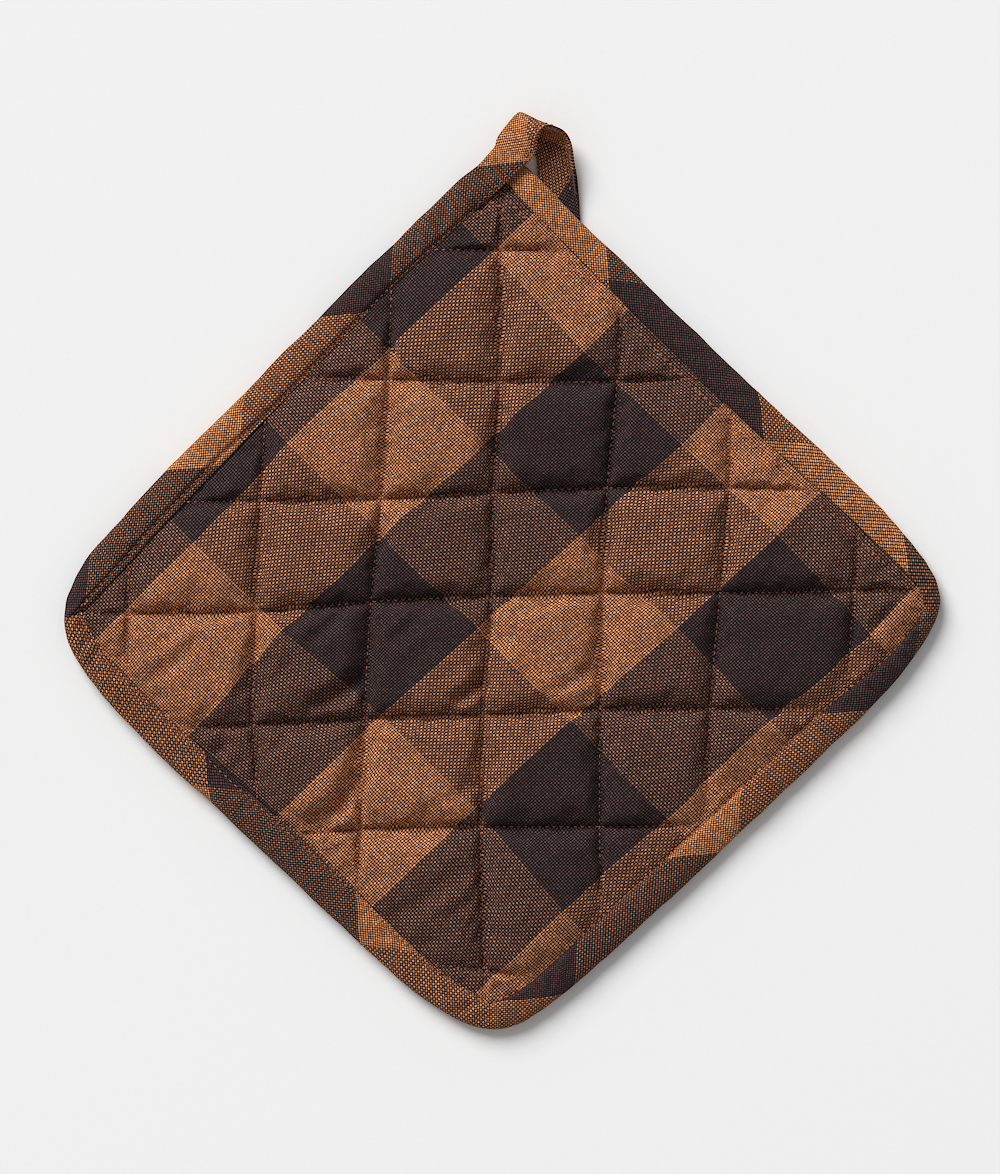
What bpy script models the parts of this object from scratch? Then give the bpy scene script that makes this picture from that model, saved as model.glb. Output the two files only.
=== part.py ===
"""Quilted pot holder: a padded square lying with one corner up, a bound edge and a hanging loop.

Frame: +X to the right and +Y towards the loop as it lies on a table, +Z up off the table. The origin is
the middle of the outer box, at the table. The tables and sizes are in millimetres; the meshes are in metres.

The pad is one filled body, sewn through along two families of quilting lines, so that each cell stands up
between its seams and rests on a flat spot below. Bias tape is folded round the pad's edge. At the top corner
the tape leaves the pad, twists over and comes back under the edge, which makes the hanging loop.
"""
from typing import NamedTuple

import bmesh
import bpy
import numpy as np
from mathutils.geometry import delaunay_2d_cdt

MM = 0.001

CLEARANCE = 0.35           # between the pieces, measured up or down
TAPE = 1.0                 # one folded side of the tape, two layers of cloth
LOOP_TAPE = 1.7            # the free tape, four layers of cloth
BOUND_HEIGHT = 6.8         # over the bound edge
SEAM_TOP = 5.4             # the pad's upper face on a quilting line
SEAM_BOTTOM = 1.7          # its lower face there
CELL_TOP = 10.2            # the crown of a full cell
EDGE_RISE = 17.0           # distance over which a cell rises from the bound edge
LIP_BLEND = 9.0            # distance over which the pad's height settles, inwards from the tape
CELL_FLATNESS = 2.4        # higher is flatter in the middle of a cell
CELL_SHOULDER = 0.7        # lower is steeper beside a seam
REST_SPREAD = 1.5          # how much of a cell's underside is pressed flat

STATIONS_PER_SIDE = 27     # sections of the bound edge along each side of the pad
STATIONS_UNDER_LOOP = 7
CORNER_CROWDING = 0.5      # 0 spaces the sections evenly, towards 1 crowds them at the corners
LOOP_SECTIONS = 46
LOOP_COLUMNS = 5

TOP_STEPS = (0.0, 0.045, 0.13, 0.28, 0.5, 0.72, 0.87, 0.955)      # mesh lines across a cell, upper face
BOTTOM_STEPS = (0.0, 0.09, 0.25, 0.5, 0.75, 0.91)                 # and lower face
KEEP_OFF_EDGE = 1.9        # mesh points of the cells stay this far from the tape's inner edge


class PlanPoint(NamedTuple):
    """A place in the plan; corner marks the end of one side of the pad."""

    x: float
    y: float
    corner: bool = False


class LoopRow(NamedTuple):
    """One ruling across the loop's tape, from its folded edge to its open edge, at mid thickness."""

    fold_x: float
    fold_y: float
    fold_z: float
    open_x: float
    open_y: float
    open_z: float


class Band(NamedTuple):
    """Height of the bound edge at a distance along it, from where the loop passes over it."""

    distance: float
    low: float
    high: float


class SectionRow(NamedTuple):
    """The tape's section: share of the way in from the fold, share of the half height above and below."""

    inward: float
    above: float
    below: float


# Outer edge of the bound pad, anticlockwise from where the tape leaves for the loop.
OUTLINE = (
    PlanPoint(-13.8, 130.3), PlanPoint(-23.2, 121.7), PlanPoint(-41.2, 104.0), PlanPoint(-77.5, 67.7),
    PlanPoint(-113.8, 31.3), PlanPoint(-130.5, 13.0), PlanPoint(-139.8, 2.0), PlanPoint(-145.0, -9.0),
    PlanPoint(-146.0, -16.0, True),
    PlanPoint(-145.0, -23.0), PlanPoint(-138.8, -34.7), PlanPoint(-121.8, -54.3), PlanPoint(-89.2, -85.0),
    PlanPoint(-51.5, -120.7), PlanPoint(-33.8, -137.0), PlanPoint(-23.5, -144.8), PlanPoint(-12.2, -151.0),
    PlanPoint(-4.0, -153.0, True),
    PlanPoint(4.2, -151.6), PlanPoint(12.2, -147.3), PlanPoint(22.8, -139.3), PlanPoint(64.2, -101.7),
    PlanPoint(107.8, -60.3), PlanPoint(125.2, -43.3), PlanPoint(141.4, -22.8),
    PlanPoint(146.0, -12.0, True),
    PlanPoint(145.1, -5.2), PlanPoint(140.5, 2.3), PlanPoint(132.5, 13.3), PlanPoint(114.8, 31.7),
    PlanPoint(77.2, 67.0), PlanPoint(32.5, 110.0), PlanPoint(8.8, 133.8, True),
)

# Inner edge of the tape, with a sharp mitre at each corner.
INNER_EDGE = (
    PlanPoint(-9.5, 119.3), PlanPoint(-34.2, 96.3), PlanPoint(-74.2, 55.0), PlanPoint(-114.2, 13.3),
    PlanPoint(-127.5, -1.3), PlanPoint(-140.0, -14.0, True),
    PlanPoint(-134.2, -25.3), PlanPoint(-97.5, -62.0), PlanPoint(-57.5, -98.7), PlanPoint(-20.5, -133.7),
    PlanPoint(-4.2, -144.0, True),
    PlanPoint(5.5, -139.3), PlanPoint(19.2, -127.7), PlanPoint(65.8, -84.7), PlanPoint(107.2, -45.7),
    PlanPoint(129.8, -26.7), PlanPoint(140.4, -12.0, True),
    PlanPoint(139.0, -6.5), PlanPoint(119.2, 14.0), PlanPoint(79.2, 50.7), PlanPoint(39.2, 90.0),
    PlanPoint(4.4, 125.4, True),
)

# The top corner, where the tape's first end lies under the start of the loop.
COVERED_OUTLINE = (
    PlanPoint(8.8, 133.8), PlanPoint(6.0, 135.4), PlanPoint(1.8, 135.8), PlanPoint(-3.5, 134.0),
    PlanPoint(-12.0, 127.6),
)
COVERED_INNER_EDGE = (
    PlanPoint(4.4, 125.4), PlanPoint(2.2, 128.4), PlanPoint(0.0, 129.0), PlanPoint(-2.8, 127.4),
    PlanPoint(-9.6, 121.0),
)

BOUND_HEIGHTS = (
    Band(0.0, 1.4, 5.4), Band(4.0, 2.1, 6.2), Band(14.0, 2.1, BOUND_HEIGHT),
    Band(27.0, 2.1, BOUND_HEIGHT), Band(42.0, 0.0, BOUND_HEIGHT),
)
COVERED_HEIGHTS = (Band(0.0, 1.4, 5.4), Band(4.0, 0.6, 4.6), Band(8.0, 0.0, 4.5), Band(30.0, 0.0, 4.5))

TAPE_SECTION = (
    SectionRow(0.0, 0.0, 0.0), SectionRow(0.06, 0.47, 0.50), SectionRow(0.18, 0.80, 0.84),
    SectionRow(0.36, 0.97, 1.0), SectionRow(0.64, 1.0, 1.0), SectionRow(1.0, 0.85, 1.0),
)
INSIDE_SECTION = (
    SectionRow(0.0, 0.0, 0.0), SectionRow(0.10, 0.62, 0.66), SectionRow(0.42, 0.99, 1.0),
    SectionRow(1.0, 0.85, 1.0),
)

# Quilting lines. Each row is one line, from left to right or from top to bottom.
LINE_ROWS_Y = (106.7, 63.3, 26.7, -10.0, -48.3, -86.0, -133.3)
LINES_DOWN_X = (
    (-162.0, -162.0, -162.0, -162.0, -162.0, -162.0, -162.0),
    (-124.0, -124.0, -124.2, -124.7, -125.2, -125.2, -125.2),
    (-77.0, -78.2, -80.5, -82.3, -83.0, -81.2, -80.0),
    (-36.5, -38.2, -40.3, -43.8, -46.0, -47.5, -50.0),
    (-0.8, -1.0, -3.0, -3.8, -6.5, -7.3, -6.0),
    (40.8, 38.2, 34.8, 33.2, 32.5, 32.3, 33.5),
    (77.5, 76.2, 75.2, 72.2, 69.0, 67.5, 66.8),
    (120.0, 120.0, 119.5, 116.8, 114.5, 114.0, 114.0),
    (158.0, 158.0, 158.0, 155.0, 153.0, 152.0, 152.0),
)
LINE_COLUMNS_X = (-124.8, -80.8, -39.2, -3.2, 34.8, 72.5, 117.5)
LINES_ACROSS_Y = (
    (145.0, 145.0, 145.0, 145.0, 145.0, 145.0, 145.0),
    (106.7, 106.7, 106.7, 106.5, 106.0, 105.7, 105.0),
    (63.7, 63.7, 63.5, 62.7, 62.7, 64.0, 64.5),
    (22.3, 23.0, 23.7, 25.7, 27.3, 27.3, 26.3),
    (-14.5, -13.7, -10.3, -8.7, -7.7, -7.7, -7.0),
    (-53.7, -51.5, -49.2, -48.2, -46.3, -46.2, -46.0),
    (-88.7, -88.7, -86.0, -85.5, -85.5, -85.0, -85.0),
    (-128.0, -129.0, -130.0, -133.7, -138.3, -142.0, -142.0),
    (-172.0, -172.0, -172.0, -172.0, -176.0, -180.0, -180.0),
)

# The loop's tape, from the top corner, over its tip and back under the bound edge.
LOOP = (
    LoopRow(-13.3, 130.6, 5.2, -8.9, 119.6, 6.2),
    LoopRow(-7.8, 135.0, 5.2, 0.5, 128.3, 6.4),
    LoopRow(-4.8, 138.3, 5.0, 5.8, 133.3, 6.7),
    LoopRow(-2.5, 141.0, 4.5, 9.2, 136.7, 7.1),
    LoopRow(-1.7, 143.7, 4.0, 11.0, 139.3, 7.8),
    LoopRow(1.2, 147.7, 3.5, 11.3, 142.7, 8.9),
    LoopRow(4.2, 151.2, 3.3, 12.8, 145.8, 9.6),
    LoopRow(5.7, 152.2, 2.2, 14.8, 147.2, 9.8),
    LoopRow(6.4, 150.6, 1.1, 17.8, 146.7, 9.5),
    LoopRow(7.8, 146.7, 0.85, 20.8, 145.0, 8.7),
    LoopRow(9.8, 142.3, 0.85, 22.7, 141.7, 7.8),
    LoopRow(11.3, 137.7, 0.85, 23.7, 136.0, 6.0),
    LoopRow(12.0, 130.7, 0.85, 24.8, 130.0, 3.8),
    LoopRow(12.3, 127.3, 0.85, 25.5, 123.3, 1.8),
    LoopRow(12.7, 124.3, 0.85, 26.0, 115.3, 0.85),
    LoopRow(13.0, 121.7, 0.85, 26.8, 108.0, 0.85),
)

TAN = (0.46, 0.17, 0.045, 1.0)
DARK_TAN = (0.27, 0.11, 0.04, 1.0)


class Station(NamedTuple):
    """One section through the bound edge: its two ends in the plan and its height."""

    outer: np.ndarray
    inner: np.ndarray
    low: float
    high: float


def clear_scene():
    """Remove what the scene holds, so that the script can be run again."""
    for item in list(bpy.data.objects):
        bpy.data.objects.remove(item, do_unlink=True)


def make_material(name, colour, roughness):
    """A plain cloth material."""
    material = bpy.data.materials.new(name)
    material.use_nodes = True
    shader = material.node_tree.nodes["Principled BSDF"]
    shader.inputs["Base Color"].default_value = colour
    shader.inputs["Roughness"].default_value = roughness
    shader.inputs["Metallic"].default_value = 0.0
    return material


def smooth(stations, values, at):
    """Read a short table at any place, on a cubic through its rows."""
    stations = np.asarray(stations, float)
    values = np.asarray(values, float)
    slopes = np.gradient(values, stations)
    at = np.clip(at, stations[0], stations[-1])
    row = np.clip(np.searchsorted(stations, at, side="right") - 1, 0, len(stations) - 2)
    span = stations[row + 1] - stations[row]
    t = (at - stations[row]) / span
    return (values[row] * (1 + 2 * t) * (1 - t) ** 2 + slopes[row] * span * t * (1 - t) ** 2
            + values[row + 1] * t * t * (3 - 2 * t) + slopes[row + 1] * span * t * t * (t - 1))


def smooth_curve(points, per_span=24):
    """A dense polyline along a smooth curve through the points."""
    points = np.asarray(points, float)
    chords = np.sqrt(np.linalg.norm(np.diff(points, axis=0), axis=1))
    stations = np.concatenate([[0.0], np.cumsum(chords)])
    spans = [np.linspace(a, b, per_span, endpoint=False) for a, b in zip(stations, stations[1:])]
    at = np.concatenate(spans + [stations[-1:]])
    return np.stack([smooth(stations, column, at) for column in points.T], axis=1)


def lengths_along(line):
    """Distance of each point of a polyline from its start."""
    return np.concatenate([[0.0], np.cumsum(np.linalg.norm(np.diff(line, axis=0), axis=1))])


def at_shares(line, shares):
    """Points of a polyline at shares of its length."""
    lengths = lengths_along(line)
    return np.stack([np.interp(np.asarray(shares) * lengths[-1], lengths, column) for column in line.T], axis=1)


def sides_of(points, round_corners):
    """Split an edge into its sides, with the corners rounded by one curve or left sharp."""
    places = [(point.x, point.y) for point in points]
    ends = [0] + [index for index, point in enumerate(points) if point.corner]
    if round_corners:
        per_span = 24
        line = smooth_curve(places, per_span)
        return [line[a * per_span:b * per_span + 1] for a, b in zip(ends, ends[1:])]
    return [smooth_curve(places[a:b + 1]) for a, b in zip(ends, ends[1:])]


def heights_at(bands, distance):
    """Low and high side of the bound edge, read from a table of bands."""
    places = [band.distance for band in bands]
    low = np.interp(distance, places, [band.low for band in bands])
    high = np.interp(distance, places, [band.high for band in bands])
    return float(low), float(high)


def bound_stations():
    """Sections of the bound edge, anticlockwise from where the tape leaves for the loop to its first end."""
    steps = np.linspace(0.0, 1.0, STATIONS_PER_SIDE + 1)
    shares = steps - CORNER_CROWDING * np.sin(2 * np.pi * steps) / (2 * np.pi)
    outer_sides = sides_of(OUTLINE, round_corners=True)
    inner_sides = sides_of(INNER_EDGE, round_corners=False)
    stations = []
    for index, (outer_line, inner_line) in enumerate(zip(outer_sides, inner_sides)):
        last_side = index == len(outer_sides) - 1
        used = shares if last_side else shares[:-1]
        to_loop = lengths_along(outer_line)[-1] * (1.0 - used)
        for outer, inner, distance in zip(at_shares(outer_line, used), at_shares(inner_line, used), to_loop):
            low, high = heights_at(BOUND_HEIGHTS, distance) if last_side else (0.0, BOUND_HEIGHT)
            stations.append(Station(outer, inner, low, high))
    outer_line = smooth_curve([(point.x, point.y) for point in COVERED_OUTLINE])
    inner_line = smooth_curve([(point.x, point.y) for point in COVERED_INNER_EDGE])
    shares = np.linspace(0.0, 1.0, STATIONS_UNDER_LOOP + 1)[1:]
    past_loop = lengths_along(outer_line)[-1] * shares
    for outer, inner, distance in zip(at_shares(outer_line, shares), at_shares(inner_line, shares), past_loop):
        low, high = heights_at(COVERED_HEIGHTS, distance)
        stations.append(Station(outer, inner, low, high))
    return stations


def section_point(station, row, above, skin_depth):
    """A point of the bound edge's section, skin_depth inside the tape's outer face."""
    middle = (station.low + station.high) / 2
    width = np.linalg.norm(station.inner - station.outer)
    inward = (skin_depth + (width - skin_depth) * row.inward) / width
    place = station.outer + (station.inner - station.outer) * inward
    if above:
        height = middle + row.above * (station.high - skin_depth - middle)
    else:
        height = middle - row.below * (middle - station.low - skin_depth)
    return (place[0], place[1], height)


def quilting_lines(x, y):
    """The quilting lines at each place: x of those going down, y of those going across, a row for each line."""
    down = np.array([smooth(LINE_ROWS_Y[::-1], row[::-1], y) for row in LINES_DOWN_X])
    across = np.array([smooth(LINE_COLUMNS_X, row, x) for row in LINES_ACROSS_Y])
    return down, across


def share_between(lines, index, value):
    """How far each value lies from line index towards the next line, 0 to 1."""
    places = np.arange(len(index))
    near = lines[index, places]
    far = lines[index + 1, places]
    return np.clip((value - near) / (far - near), 0.0, 1.0)


def pillow(share):
    """Height across a cell: 0 on its seams and 1 in its middle."""
    return (1.0 - np.abs(2.0 * share - 1.0) ** CELL_FLATNESS) ** CELL_SHOULDER


def cell_height(x, y):
    """Height of the quilting at each place, from 0 on a seam to 1 in the middle of a cell."""
    down, across = quilting_lines(x, y)
    column = np.clip((down <= x).sum(axis=0) - 1, 0, len(down) - 2)
    row = np.clip((across >= y).sum(axis=0) - 1, 0, len(across) - 2)
    return pillow(share_between(down, column, x)) * pillow(share_between(across, row, y))


def lattice_places(steps):
    """Mesh points of the quilted cells, on lines that follow the seams; a few rounds settle the wavy lines."""
    column, row, step_x, step_y = (grid.ravel() for grid in np.meshgrid(
        np.arange(len(LINES_DOWN_X) - 1), np.arange(len(LINES_ACROSS_Y) - 1), steps, steps, indexing="ij"))
    column = column.astype(int)
    row = row.astype(int)
    places = np.arange(len(column))
    x = np.zeros(len(column))
    y = np.zeros(len(column))
    for _ in range(6):
        down, across = quilting_lines(x, y)
        x = down[column, places] * (1 - step_x) + down[column + 1, places] * step_x
        y = across[row, places] * (1 - step_y) + across[row + 1, places] * step_y
    return x, y


class Rim:
    """The tape's inner edge, where the open face of the pad starts."""

    def __init__(self, stations):
        self.points = np.array([station.inner for station in stations])
        self.following = np.roll(self.points, -1, axis=0)
        self.sides = np.array([(station.low, station.high) for station in stations])

    def contains(self, x, y):
        """True for each place inside the edge, by counting crossings to the right."""
        (ax, ay), (bx, by) = self.points.T, self.following.T
        crosses = (ay > y[:, None]) != (by > y[:, None])
        rise = np.where(by == ay, 1.0, by - ay)
        at = ax + (y[:, None] - ay) * (bx - ax) / rise
        return np.count_nonzero(crosses & (at > x[:, None]), axis=1) % 2 == 1

    def nearest(self, x, y):
        """Distance of each place to the edge, and the low and high side of the bound edge there."""
        along = self.following - self.points
        offset = np.stack([x, y], axis=1)[:, None, :] - self.points
        share = np.clip((offset * along).sum(axis=2) / (along * along).sum(axis=1), 0.0, 1.0)
        distance = np.linalg.norm(offset - along * share[:, :, None], axis=2)
        index = distance.argmin(axis=1)
        places = np.arange(len(index))
        share = share[places, index][:, None]
        sides = self.sides[index] * (1 - share) + np.roll(self.sides, -1, axis=0)[index] * share
        return distance[places, index], sides[:, 0], sides[:, 1]


def pad_heights(rim, x, y, above):
    """Height of the pad's upper or lower face at places inside the tape."""
    distance, low, high = rim.nearest(x, y)
    settle = np.minimum(distance / LIP_BLEND, 1.0)
    settle = settle * settle * (3 - 2 * settle)
    rise = 1.0 - (1.0 - np.minimum(distance / EDGE_RISE, 1.0)) ** 2
    quilt = cell_height(x, y) * rise
    middle = (low + high) / 2
    depth = TAPE + CLEARANCE
    if above:
        lip = middle + TAPE_SECTION[-1].above * (high - depth - middle)
        base = lip + (SEAM_TOP - lip) * settle
        return base + (CELL_TOP - SEAM_TOP) * quilt
    base = low + depth + (SEAM_BOTTOM - low - depth) * settle
    return base * (1.0 - np.minimum(quilt * REST_SPREAD, 1.0))


def pad_face(rim, steps, above):
    """Triangles of one open face of the pad: its points, the triangles, and each rim point's index."""
    edge = rim.points.tolist()
    x, y = lattice_places(steps)
    kept = rim.contains(x, y) & (rim.nearest(x, y)[0] > KEEP_OFF_EDGE)
    inside = np.unique(np.round(np.stack([x[kept], y[kept]], axis=1), 4), axis=0).tolist()
    loop = [(index, (index + 1) % len(edge)) for index in range(len(edge))]
    places, _, faces, origins, _, _ = delaunay_2d_cdt(edge + inside, loop, [], 1, 1e-5)
    x, y = np.array([tuple(place) for place in places]).T
    points = np.stack([x, y, pad_heights(rim, x, y, above)], axis=1).tolist()
    edge_index = {origin: index for index, ids in enumerate(origins) for origin in ids if origin < len(edge)}
    return points, faces, edge_index


def bridge_rows(mesh, rows, closed):
    """Quads between rows of vertices that run along the edge; a closed row meets its own start."""
    count = len(rows[0])
    for first, second in zip(rows, rows[1:]):
        for index in range(count if closed else count - 1):
            after = (index + 1) % count
            mesh.faces.new((first[index], first[after], second[after], second[index]))


def section_rows(mesh, stations, section, above, skin_depth):
    """Vertices of one side of the section: a row along the edge for each row of the table."""
    rows = []
    for row in section:
        points = [section_point(station, row, above, skin_depth) for station in stations]
        rows.append([mesh.verts.new(point) for point in points])
    return rows


def finish_object(name, mesh, material):
    """Turn the bmesh, in millimetres, into an object in metres."""
    mesh.normal_update()
    bmesh.ops.triangulate(mesh, faces=mesh.faces[:])
    bmesh.ops.recalc_face_normals(mesh, faces=mesh.faces[:])
    bmesh.ops.scale(mesh, vec=(MM, MM, MM), verts=mesh.verts[:])
    data = bpy.data.meshes.new(name)
    mesh.to_mesh(data)
    mesh.free()
    data.materials.append(material)
    data.shade_smooth()
    item = bpy.data.objects.new(name, data)
    bpy.context.collection.objects.link(item)
    return item


def build_pad(stations, material):
    """The filled pad: its edge inside the tape, and its two quilted faces."""
    rim = Rim(stations)
    mesh = bmesh.new()
    depth = TAPE + CLEARANCE
    upper = section_rows(mesh, stations, INSIDE_SECTION[:-1], True, depth)
    lower = section_rows(mesh, stations, INSIDE_SECTION[1:-1], False, depth)
    for above, steps, rows in ((True, TOP_STEPS, upper), (False, BOTTOM_STEPS, [upper[0]] + lower)):
        points, faces, edge_index = pad_face(rim, steps, above)
        vertices = [mesh.verts.new(point) for point in points]
        lip = [vertices[edge_index[index]] for index in range(len(stations))]
        bridge_rows(mesh, rows + [lip], closed=True)
        for face in faces:
            mesh.faces.new([vertices[index] for index in face])
    return finish_object("quilted_pad", mesh, material)


def build_binding(stations, material):
    """The tape folded round the pad's edge, open towards the pad, with a flat end either side of its cut."""
    mesh = bmesh.new()
    outer_above = section_rows(mesh, stations, TAPE_SECTION, True, 0.0)
    outer_below = section_rows(mesh, stations, TAPE_SECTION[1:], False, 0.0)
    inner_above = section_rows(mesh, stations, INSIDE_SECTION, True, TAPE)
    inner_below = section_rows(mesh, stations, INSIDE_SECTION[1:], False, TAPE)
    skin = outer_below[::-1] + outer_above + inner_above[::-1] + inner_below
    bridge_rows(mesh, skin + [skin[0]], closed=False)
    mesh.faces.new([row[0] for row in skin])
    mesh.faces.new([row[-1] for row in skin[::-1]])
    return finish_object("binding", mesh, material)


def loop_sections():
    """Rulings along the loop's tape, close together where the table's rows are, none below the table top."""
    rows = smooth_curve(LOOP, per_span=12)
    rows[:, 2::3] = np.maximum(rows[:, 2::3], LOOP_TAPE / 2)
    share = np.linspace(0.0, len(LOOP) - 1, LOOP_SECTIONS)
    picks = np.round(share * 12).astype(int)
    return rows[picks]


def build_loop(material):
    """The hanging loop: one strip of folded tape with its real thickness."""
    rows = loop_sections()
    columns = np.linspace(0.0, 1.0, LOOP_COLUMNS)
    grid = np.array([[row[:3] + (row[3:] - row[:3]) * share for share in columns] for row in rows])
    along = np.gradient(grid, axis=0)
    across = (rows[:, 3:] - rows[:, :3])[:, None, :]
    normals = np.cross(across, along)
    normals /= np.linalg.norm(normals, axis=2, keepdims=True)
    mesh = bmesh.new()
    faces_out = [[[mesh.verts.new(point) for point in line] for line in grid + normals * side * LOOP_TAPE / 2]
                 for side in (1.0, -1.0)]
    rings = [upper + lower[::-1] for upper, lower in zip(*faces_out)]
    for first, second in zip(rings, rings[1:]):
        for index in range(len(first)):
            after = (index + 1) % len(first)
            mesh.faces.new((first[index], first[after], second[after], second[index]))
    mesh.faces.new(rings[0])
    mesh.faces.new(rings[-1][::-1])
    return finish_object("hanging_loop", mesh, material)


def main():
    """Build the three pieces."""
    clear_scene()
    cloth = make_material("quilted_cotton", TAN, 0.92)
    tape = make_material("tape_cotton", DARK_TAN, 0.92)
    stations = bound_stations()
    build_binding(stations, tape)
    build_pad(stations[1:], cloth)
    build_loop(tape)


main()
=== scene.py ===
"""Looks of the quilted pot holder: buffalo-check cloth, folded bias tape, hanging loop and sewing.

The solids come packed and stay where they are. Each cloth piece here stands for the solid of the same part:
the filled pad is puffed up between its quilting lines and settled by a cloth simulation, the tape is laid
round its edge, and the loop twists over at the top corner. Tables and sizes are in millimetres in the row's
frame, +X to the right, +Y towards the loop and +Z up off the table; the meshes are in metres.
"""
import logging
import math
from dataclasses import dataclass, field
from enum import Enum
from typing import NamedTuple, Sequence, Union

import bpy
import numpy as np
from mathutils import Euler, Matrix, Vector
from mathutils.bvhtree import BVHTree
from mathutils.geometry import delaunay_2d_cdt
from mathutils.kdtree import KDTree


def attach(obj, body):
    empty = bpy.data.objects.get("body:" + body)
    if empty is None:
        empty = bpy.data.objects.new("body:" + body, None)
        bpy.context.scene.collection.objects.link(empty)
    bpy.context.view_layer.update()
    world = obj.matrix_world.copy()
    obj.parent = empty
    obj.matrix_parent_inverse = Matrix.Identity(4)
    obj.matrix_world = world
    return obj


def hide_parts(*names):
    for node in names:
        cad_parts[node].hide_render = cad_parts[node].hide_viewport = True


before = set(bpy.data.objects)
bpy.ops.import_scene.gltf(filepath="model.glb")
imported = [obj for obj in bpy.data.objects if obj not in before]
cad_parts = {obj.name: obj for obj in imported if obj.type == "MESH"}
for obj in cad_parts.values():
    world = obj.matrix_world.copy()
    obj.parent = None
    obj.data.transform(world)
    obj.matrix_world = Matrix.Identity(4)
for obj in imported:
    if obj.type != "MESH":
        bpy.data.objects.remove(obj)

MM = 0.001
UV_NAME = "threads"
PULL_NAME = "pulled"                 # how much the nearest seam pulls the cloth, from 0 to 1
CELL = 38.0                          # usual distance between two quilting lines
EDGE_HEIGHT = 6.8                    # thickness of the bound edge where it lies flat
PER_SPAN = 24                        # points drawn between two places of an edge
STRIPES_BEYOND = 9                   # stripes that a check runs on for, past either end of its table

Value = Union[float, bpy.types.NodeSocket]
Colour = tuple[float, float, float, float]

log = logging.getLogger("pot_holder")


class Place(NamedTuple):
    """A place in the plan; corner marks the end of one side of the pad."""

    x: float
    y: float
    corner: bool = False


class Height(NamedTuple):
    """Low and high side of the bound edge at a distance along it."""

    distance: float
    low: float
    high: float


class Ruling(NamedTuple):
    """One line across the loop's tape, from its folded edge to its open edge, at mid thickness."""

    fold_x: float
    fold_y: float
    fold_z: float
    open_x: float
    open_y: float
    open_z: float


class Crease(NamedTuple):
    """A soft crease in the cloth, from one place to another: depth below its two ridges, width across it.

    Its middle bows out to the left of its run.
    """

    from_x: float
    from_y: float
    to_x: float
    to_y: float
    depth: float
    width: float
    bow: float


class Stripes(NamedTuple):
    """Where one family of yarns changes colour, whether it is dark before the first change, and its share.

    The weave shows more of one family than of the other. The tape turns at each corner of the pad, so the
    level yarns show more on two of its sides and the upright ones on the others.
    """

    changes: tuple[float, ...]
    starts_dark: bool
    shows_more: bool


# Outer edge of the bound pad, anticlockwise from where the tape leaves for the loop.
OUTLINE = (
    Place(-13.8, 130.3), Place(-23.2, 121.7), Place(-41.2, 104.0), Place(-77.5, 67.7), Place(-113.8, 31.3),
    Place(-130.5, 13.0), Place(-139.8, 2.0), Place(-145.0, -9.0), Place(-146.0, -16.0, True),
    Place(-145.0, -23.0), Place(-138.8, -34.7), Place(-121.8, -54.3), Place(-89.2, -85.0),
    Place(-51.5, -120.7), Place(-33.8, -137.0), Place(-23.5, -144.8), Place(-12.2, -151.0),
    Place(-4.0, -153.0, True),
    Place(4.2, -151.6), Place(12.2, -147.3), Place(22.8, -139.3), Place(64.2, -101.7), Place(107.8, -60.3),
    Place(125.2, -43.3), Place(141.4, -22.8), Place(146.0, -12.0, True),
    Place(144.9, -5.2), Place(141.0, 2.6), Place(132.0, 13.9), Place(123.8, 23.0), Place(114.8, 31.7),
    Place(77.2, 67.0), Place(32.5, 110.0), Place(8.8, 133.8, True),
)

# Inner edge of the tape, with a sharp mitre at each corner.
INNER_EDGE = (
    Place(-9.5, 119.3), Place(-34.2, 96.3), Place(-74.2, 55.0), Place(-114.2, 13.3), Place(-127.5, -1.3),
    Place(-140.0, -14.0, True),
    Place(-134.2, -25.3), Place(-97.5, -62.0), Place(-57.5, -98.7), Place(-20.5, -133.7),
    Place(-4.2, -144.0, True),
    Place(5.5, -139.3), Place(19.2, -127.7), Place(65.8, -84.7), Place(107.2, -45.7), Place(129.8, -26.7),
    Place(140.4, -12.0, True),
    Place(139.0, -6.5), Place(119.2, 14.0), Place(79.2, 50.7), Place(39.2, 90.0), Place(4.4, 125.4, True),
)

# The top corner, where the tape's first end lies under the start of the loop.
COVERED_OUTLINE = (
    Place(8.8, 133.8), Place(6.0, 135.4), Place(1.8, 135.8), Place(-3.5, 134.0), Place(-12.0, 127.6),
)
COVERED_INNER_EDGE = (
    Place(4.4, 125.4), Place(2.2, 128.4), Place(0.0, 129.0), Place(-2.8, 127.4), Place(-9.6, 121.0),
)

# Heights of the bound edge: along a whole side, along the side that ends over the loop, counted from there,
# and along the end that the loop covers.
FULL_HEIGHT = (Height(0.0, 0.0, EDGE_HEIGHT), Height(400.0, 0.0, EDGE_HEIGHT))
HEIGHTS_BY_LOOP = (
    Height(0.0, 1.4, 5.4), Height(4.0, 2.1, 6.2), Height(14.0, 2.1, EDGE_HEIGHT),
    Height(27.0, 2.1, EDGE_HEIGHT), Height(42.0, 0.0, EDGE_HEIGHT),
)
COVERED_HEIGHTS = (
    Height(0.0, 1.4, 5.4), Height(4.0, 0.6, 4.6), Height(8.0, 0.0, 4.5), Height(30.0, 0.0, 4.5),
)

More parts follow.
